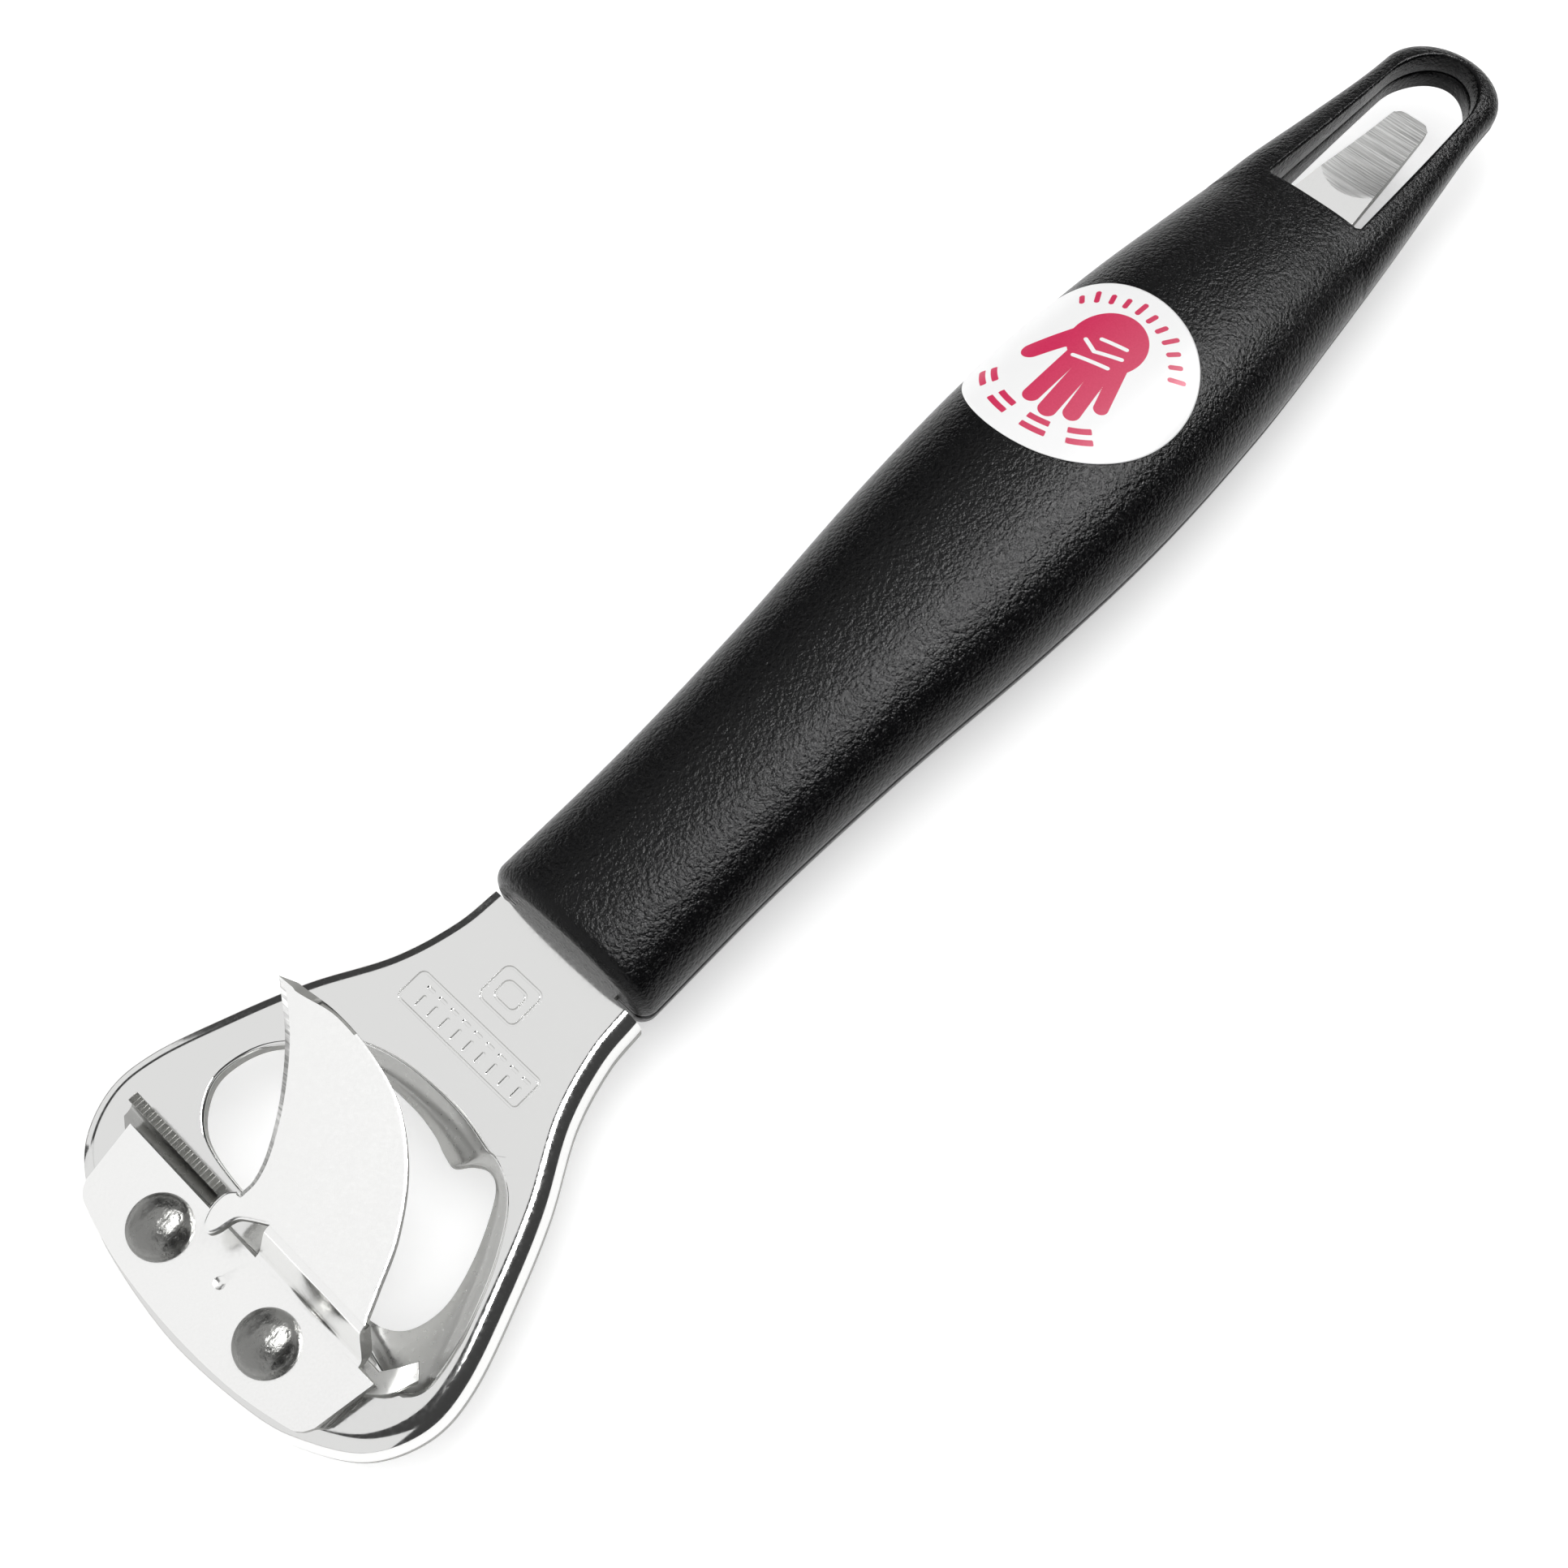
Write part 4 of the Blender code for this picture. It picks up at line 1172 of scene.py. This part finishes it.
def add_softbox(name, location, size, radiance, turn=(0.0, 0.0, 0.0)):
    """A rectangular light given by its brightness. It shines down, and turn is in degrees."""
    data = bpy.data.lights.new(name, "AREA")
    data.shape = "RECTANGLE"
    data.size, data.size_y = size
    data.energy = radiance * size[0] * size[1] * math.pi
    box = bpy.data.objects.new(name, data)
    bpy.context.scene.collection.objects.link(box)
    box.location = location
    box.rotation_euler = [math.radians(angle) for angle in turn]
    box.visible_camera = False
    return box


def build_stage(opener):
    stage = opener.stage
    bm = bmesh.new()
    bmesh.ops.create_grid(bm, x_segments=1, y_segments=1, size=FLOOR_REACH)
    acrylic = new_material("acrylic_light_table", stage.floor_colour, Roughness=0.9)
    shader = shader_of(acrylic)
    shader.inputs["Specular IOR Level"].default_value = 0.1
    shader.inputs["Emission Color"].default_value = linear("#FFFFFF")
    shader.inputs["Emission Strength"].default_value = 0.4
    floor = new_piece("floor", bm, [acrylic])
    floor.location.z = GROUND

    world = bpy.context.scene.world or bpy.data.worlds.new("studio")
    bpy.context.scene.world = world
    world.use_nodes = True
    background = world.node_tree.nodes["Background"]
    background.inputs["Color"].default_value = linear("#FFFFFF")
    background.inputs["Strength"].default_value = stage.room_light

    fill = add_softbox("overhead_fill", (0.0, 0.0, 1.2), (1.6, 1.6), stage.fill_light)
    fill.visible_glossy = False
    card = stage.card_light
    add_softbox("overhead_card", (0.32, 0.39, 0.8), (1.5, 0.72), card)
    add_softbox("head_card", (-0.6, -0.05, 0.42), (0.85, 1.7), card, (0.0, -69.5, 0.0))
    add_softbox("left_card", (-0.25, 0.85, 0.33), (0.7, 0.52), card, (-90.0, 0.0, 0.0))
    strip = add_softbox("strip_light", (0.57, -0.19, 0.8), (1.05, 0.2), stage.strip_light)
    strip.visible_diffuse = False

    camera_data = bpy.data.cameras.new("camera")
    camera = bpy.data.objects.new("camera", camera_data)
    bpy.context.scene.collection.objects.link(camera)
    a, e = math.radians(CAMERA_AZIMUTH), math.radians(CAMERA_ELEVATION)
    back = Vector((math.sin(a) * math.cos(e), -math.cos(a) * math.cos(e), math.sin(e)))
    target = at(*CAMERA_TARGET)
    camera.location = target + back * CAMERA_DISTANCE * MM
    aim(camera, target, CAMERA_ROLL)
    camera_data.lens = CAMERA_LENS
    camera_data.sensor_width = 36.0
    camera_data.shift_x, camera_data.shift_y = CAMERA_SHIFT
    camera_data.clip_start = 0.005
    bpy.context.scene.camera = camera
    bpy.context.scene.view_settings.view_transform = "Standard"


# --- settings


def size_setting(name, description, metres):
    return FloatProperty(name=name, description=description, default=metres, unit="LENGTH")


def colour_setting(name, description, shade):
    return FloatVectorProperty(
        name=name, description=description, default=linear(shade), subtype="COLOR", size=4
    )


def light_setting(name, description, radiance):
    return FloatProperty(name=name, description=description, default=radiance, min=0.0)


class OPENER_PG_steel(bpy.types.PropertyGroup):
    plate_thickness: size_setting("Plate thickness", "Thickness of the plate", PLATE_THICKNESS * MM)
    rim_radius: size_setting("Rim radius", "Outside radius of the bend round the head", 0.0022)
    blade_thickness: size_setting("Blade thickness", "Thickness of the folded blade", 0.0012)
    grind_width: size_setting("Grind width", "Width of the bevel on the cutting edge", 0.0006)
    grip_thickness: size_setting("Grip plate thickness", "Thickness of the toothed plate", 0.001)
    plate_colour: colour_setting("Plate", "Reflectance of the bright plate", "#E4E4E3")
    blade_colour: colour_setting("Blade", "Reflectance of the blade", "#F8F8F7")
    # Darker than the plate: painted shade on the slope into the window, over a satin finish.
    funnel_shaded_colour: colour_setting("Window slope", "Reflectance of the slope into the window", "#B9B9B7")
    grip_colour: colour_setting("Grip plate", "Reflectance of the toothed plate", "#A8A8A6")
    edge_colour: colour_setting("Sheared edge", "Reflectance of a blanked sheet's edge", "#92928F")
    rivet_colour: colour_setting("Rivets", "Reflectance of the rivets", "#848482")


class OPENER_PG_handle(bpy.types.PropertyGroup):
    colour: colour_setting("Plastic", "Body colour of the moulded handle", "#060607")


class OPENER_PG_label(bpy.types.PropertyGroup):
    radius: size_setting("Radius", "Radius of the round label before it is wrapped on", 0.0125)
    paper_colour: colour_setting("Paper", "Colour of the coated paper", "#FAFAFA")
    ink_colour: colour_setting("Ink", "Colour of the printed hand and bars", "#CE1A4E")


class OPENER_PG_stage(bpy.types.PropertyGroup):
    floor_colour: colour_setting("Floor", "Colour of the light table", "#F6F6F6")
    room_light: light_setting("Room light", "Brightness of the dim studio round the tool", 0.06)
    fill_light: light_setting("Fill", "Brightness of the overhead fill on label and floor", 1.3)
    card_light: light_setting("Card", "Brightness of the cards that the steel mirrors", 0.87)
    strip_light: light_setting("Strip", "Brightness of the strip along the handle", 24.0)


class OPENER_PG_settings(bpy.types.PropertyGroup):
    steel: PointerProperty(
        name="Steel", description="Sizes and colours of the steel", type=OPENER_PG_steel
    )
    handle: PointerProperty(name="Handle", description="Its colour", type=OPENER_PG_handle)
    label: PointerProperty(name="Label", description="Size and colours", type=OPENER_PG_label)
    stage: PointerProperty(name="Stage", description="Floor and lights", type=OPENER_PG_stage)


# --- operators


class OPENER_OT_head_plate(bpy.types.Operator):
    """Build the stamped plate: head, window, stamped frames and tab lifter"""

    bl_idname = "opener.head_plate"
    bl_label = "Head Plate"

    def execute(self, context):
        build_head_plate(context.scene.opener)
        return {"FINISHED"}


class OPENER_OT_blade(bpy.types.Operator):
    """Build the folded blade with its ground cutting edge"""

    bl_idname = "opener.blade"
    bl_label = "Blade"

    def execute(self, context):
        build_blade(context.scene.opener)
        return {"FINISHED"}


class OPENER_OT_grip_plate(bpy.types.Operator):
    """Build the toothed plate under the blade"""

    bl_idname = "opener.grip_plate"
    bl_label = "Grip Plate"

    def execute(self, context):
        build_grip_plate(context.scene.opener)
        return {"FINISHED"}


class OPENER_OT_rivets(bpy.types.Operator):
    """Build the two domed rivets"""

    bl_idname = "opener.rivets"
    bl_label = "Rivets"

    def execute(self, context):
        for side, y in (("left", RIVET_Y), ("right", -RIVET_Y)):
            build_rivet(context.scene.opener, side, y)
        return {"FINISHED"}


class OPENER_OT_handle(bpy.types.Operator):
    """Build the two moulded halves of the handle with the hanging eye"""

    bl_idname = "opener.handle"
    bl_label = "Handle"

    def execute(self, context):
        for upper in (True, False):
            build_shell(context.scene.opener, upper)
        return {"FINISHED"}


class OPENER_OT_label(bpy.types.Operator):
    """Build the round printed label"""

    bl_idname = "opener.label"
    bl_label = "Label"

    def execute(self, context):
        build_label(context.scene.opener)
        return {"FINISHED"}


class OPENER_OT_stage(bpy.types.Operator):
    """Build the floor, the lights and the camera"""

    bl_idname = "opener.stage"
    bl_label = "Stage"

    def execute(self, context):
        build_stage(context.scene.opener)
        return {"FINISHED"}


OPERATORS = (
    OPENER_OT_head_plate,
    OPENER_OT_blade,
    OPENER_OT_grip_plate,
    OPENER_OT_rivets,
    OPENER_OT_handle,
    OPENER_OT_label,
    OPENER_OT_stage,
)


class OPENER_PT_sidebar(bpy.types.Panel):
    """Settings and build steps of the can opener"""

    bl_idname = "OPENER_PT_sidebar"
    bl_label = "Can Opener"
    bl_space_type = "VIEW_3D"
    bl_region_type = "UI"
    bl_category = "Can Opener"

    def draw(self, context):
        opener = context.scene.opener
        for group in (opener.steel, opener.handle, opener.label, opener.stage):
            box = self.layout.box()
            for name in group.bl_rna.properties.keys():
                if name not in {"rna_type", "name"}:
                    box.prop(group, name)
        for operator in OPERATORS:
            self.layout.operator(operator.bl_idname)


CLASSES = (
    OPENER_PG_steel,
    OPENER_PG_handle,
    OPENER_PG_label,
    OPENER_PG_stage,
    OPENER_PG_settings,
    *OPERATORS,
    OPENER_PT_sidebar,
)


def register():
    for cls in CLASSES:
        bpy.utils.register_class(cls)
    bpy.types.Scene.opener = PointerProperty(type=OPENER_PG_settings)


def unregister():
    del bpy.types.Scene.opener
    for cls in reversed(CLASSES):
        bpy.utils.unregister_class(cls)


def main():
    register()
    bpy.ops.opener.head_plate()
    bpy.ops.opener.blade()
    bpy.ops.opener.grip_plate()
    bpy.ops.opener.rivets()
    bpy.ops.opener.handle()
    bpy.ops.opener.label()
    bpy.ops.opener.stage()


if __name__ == "__main__":
    main()
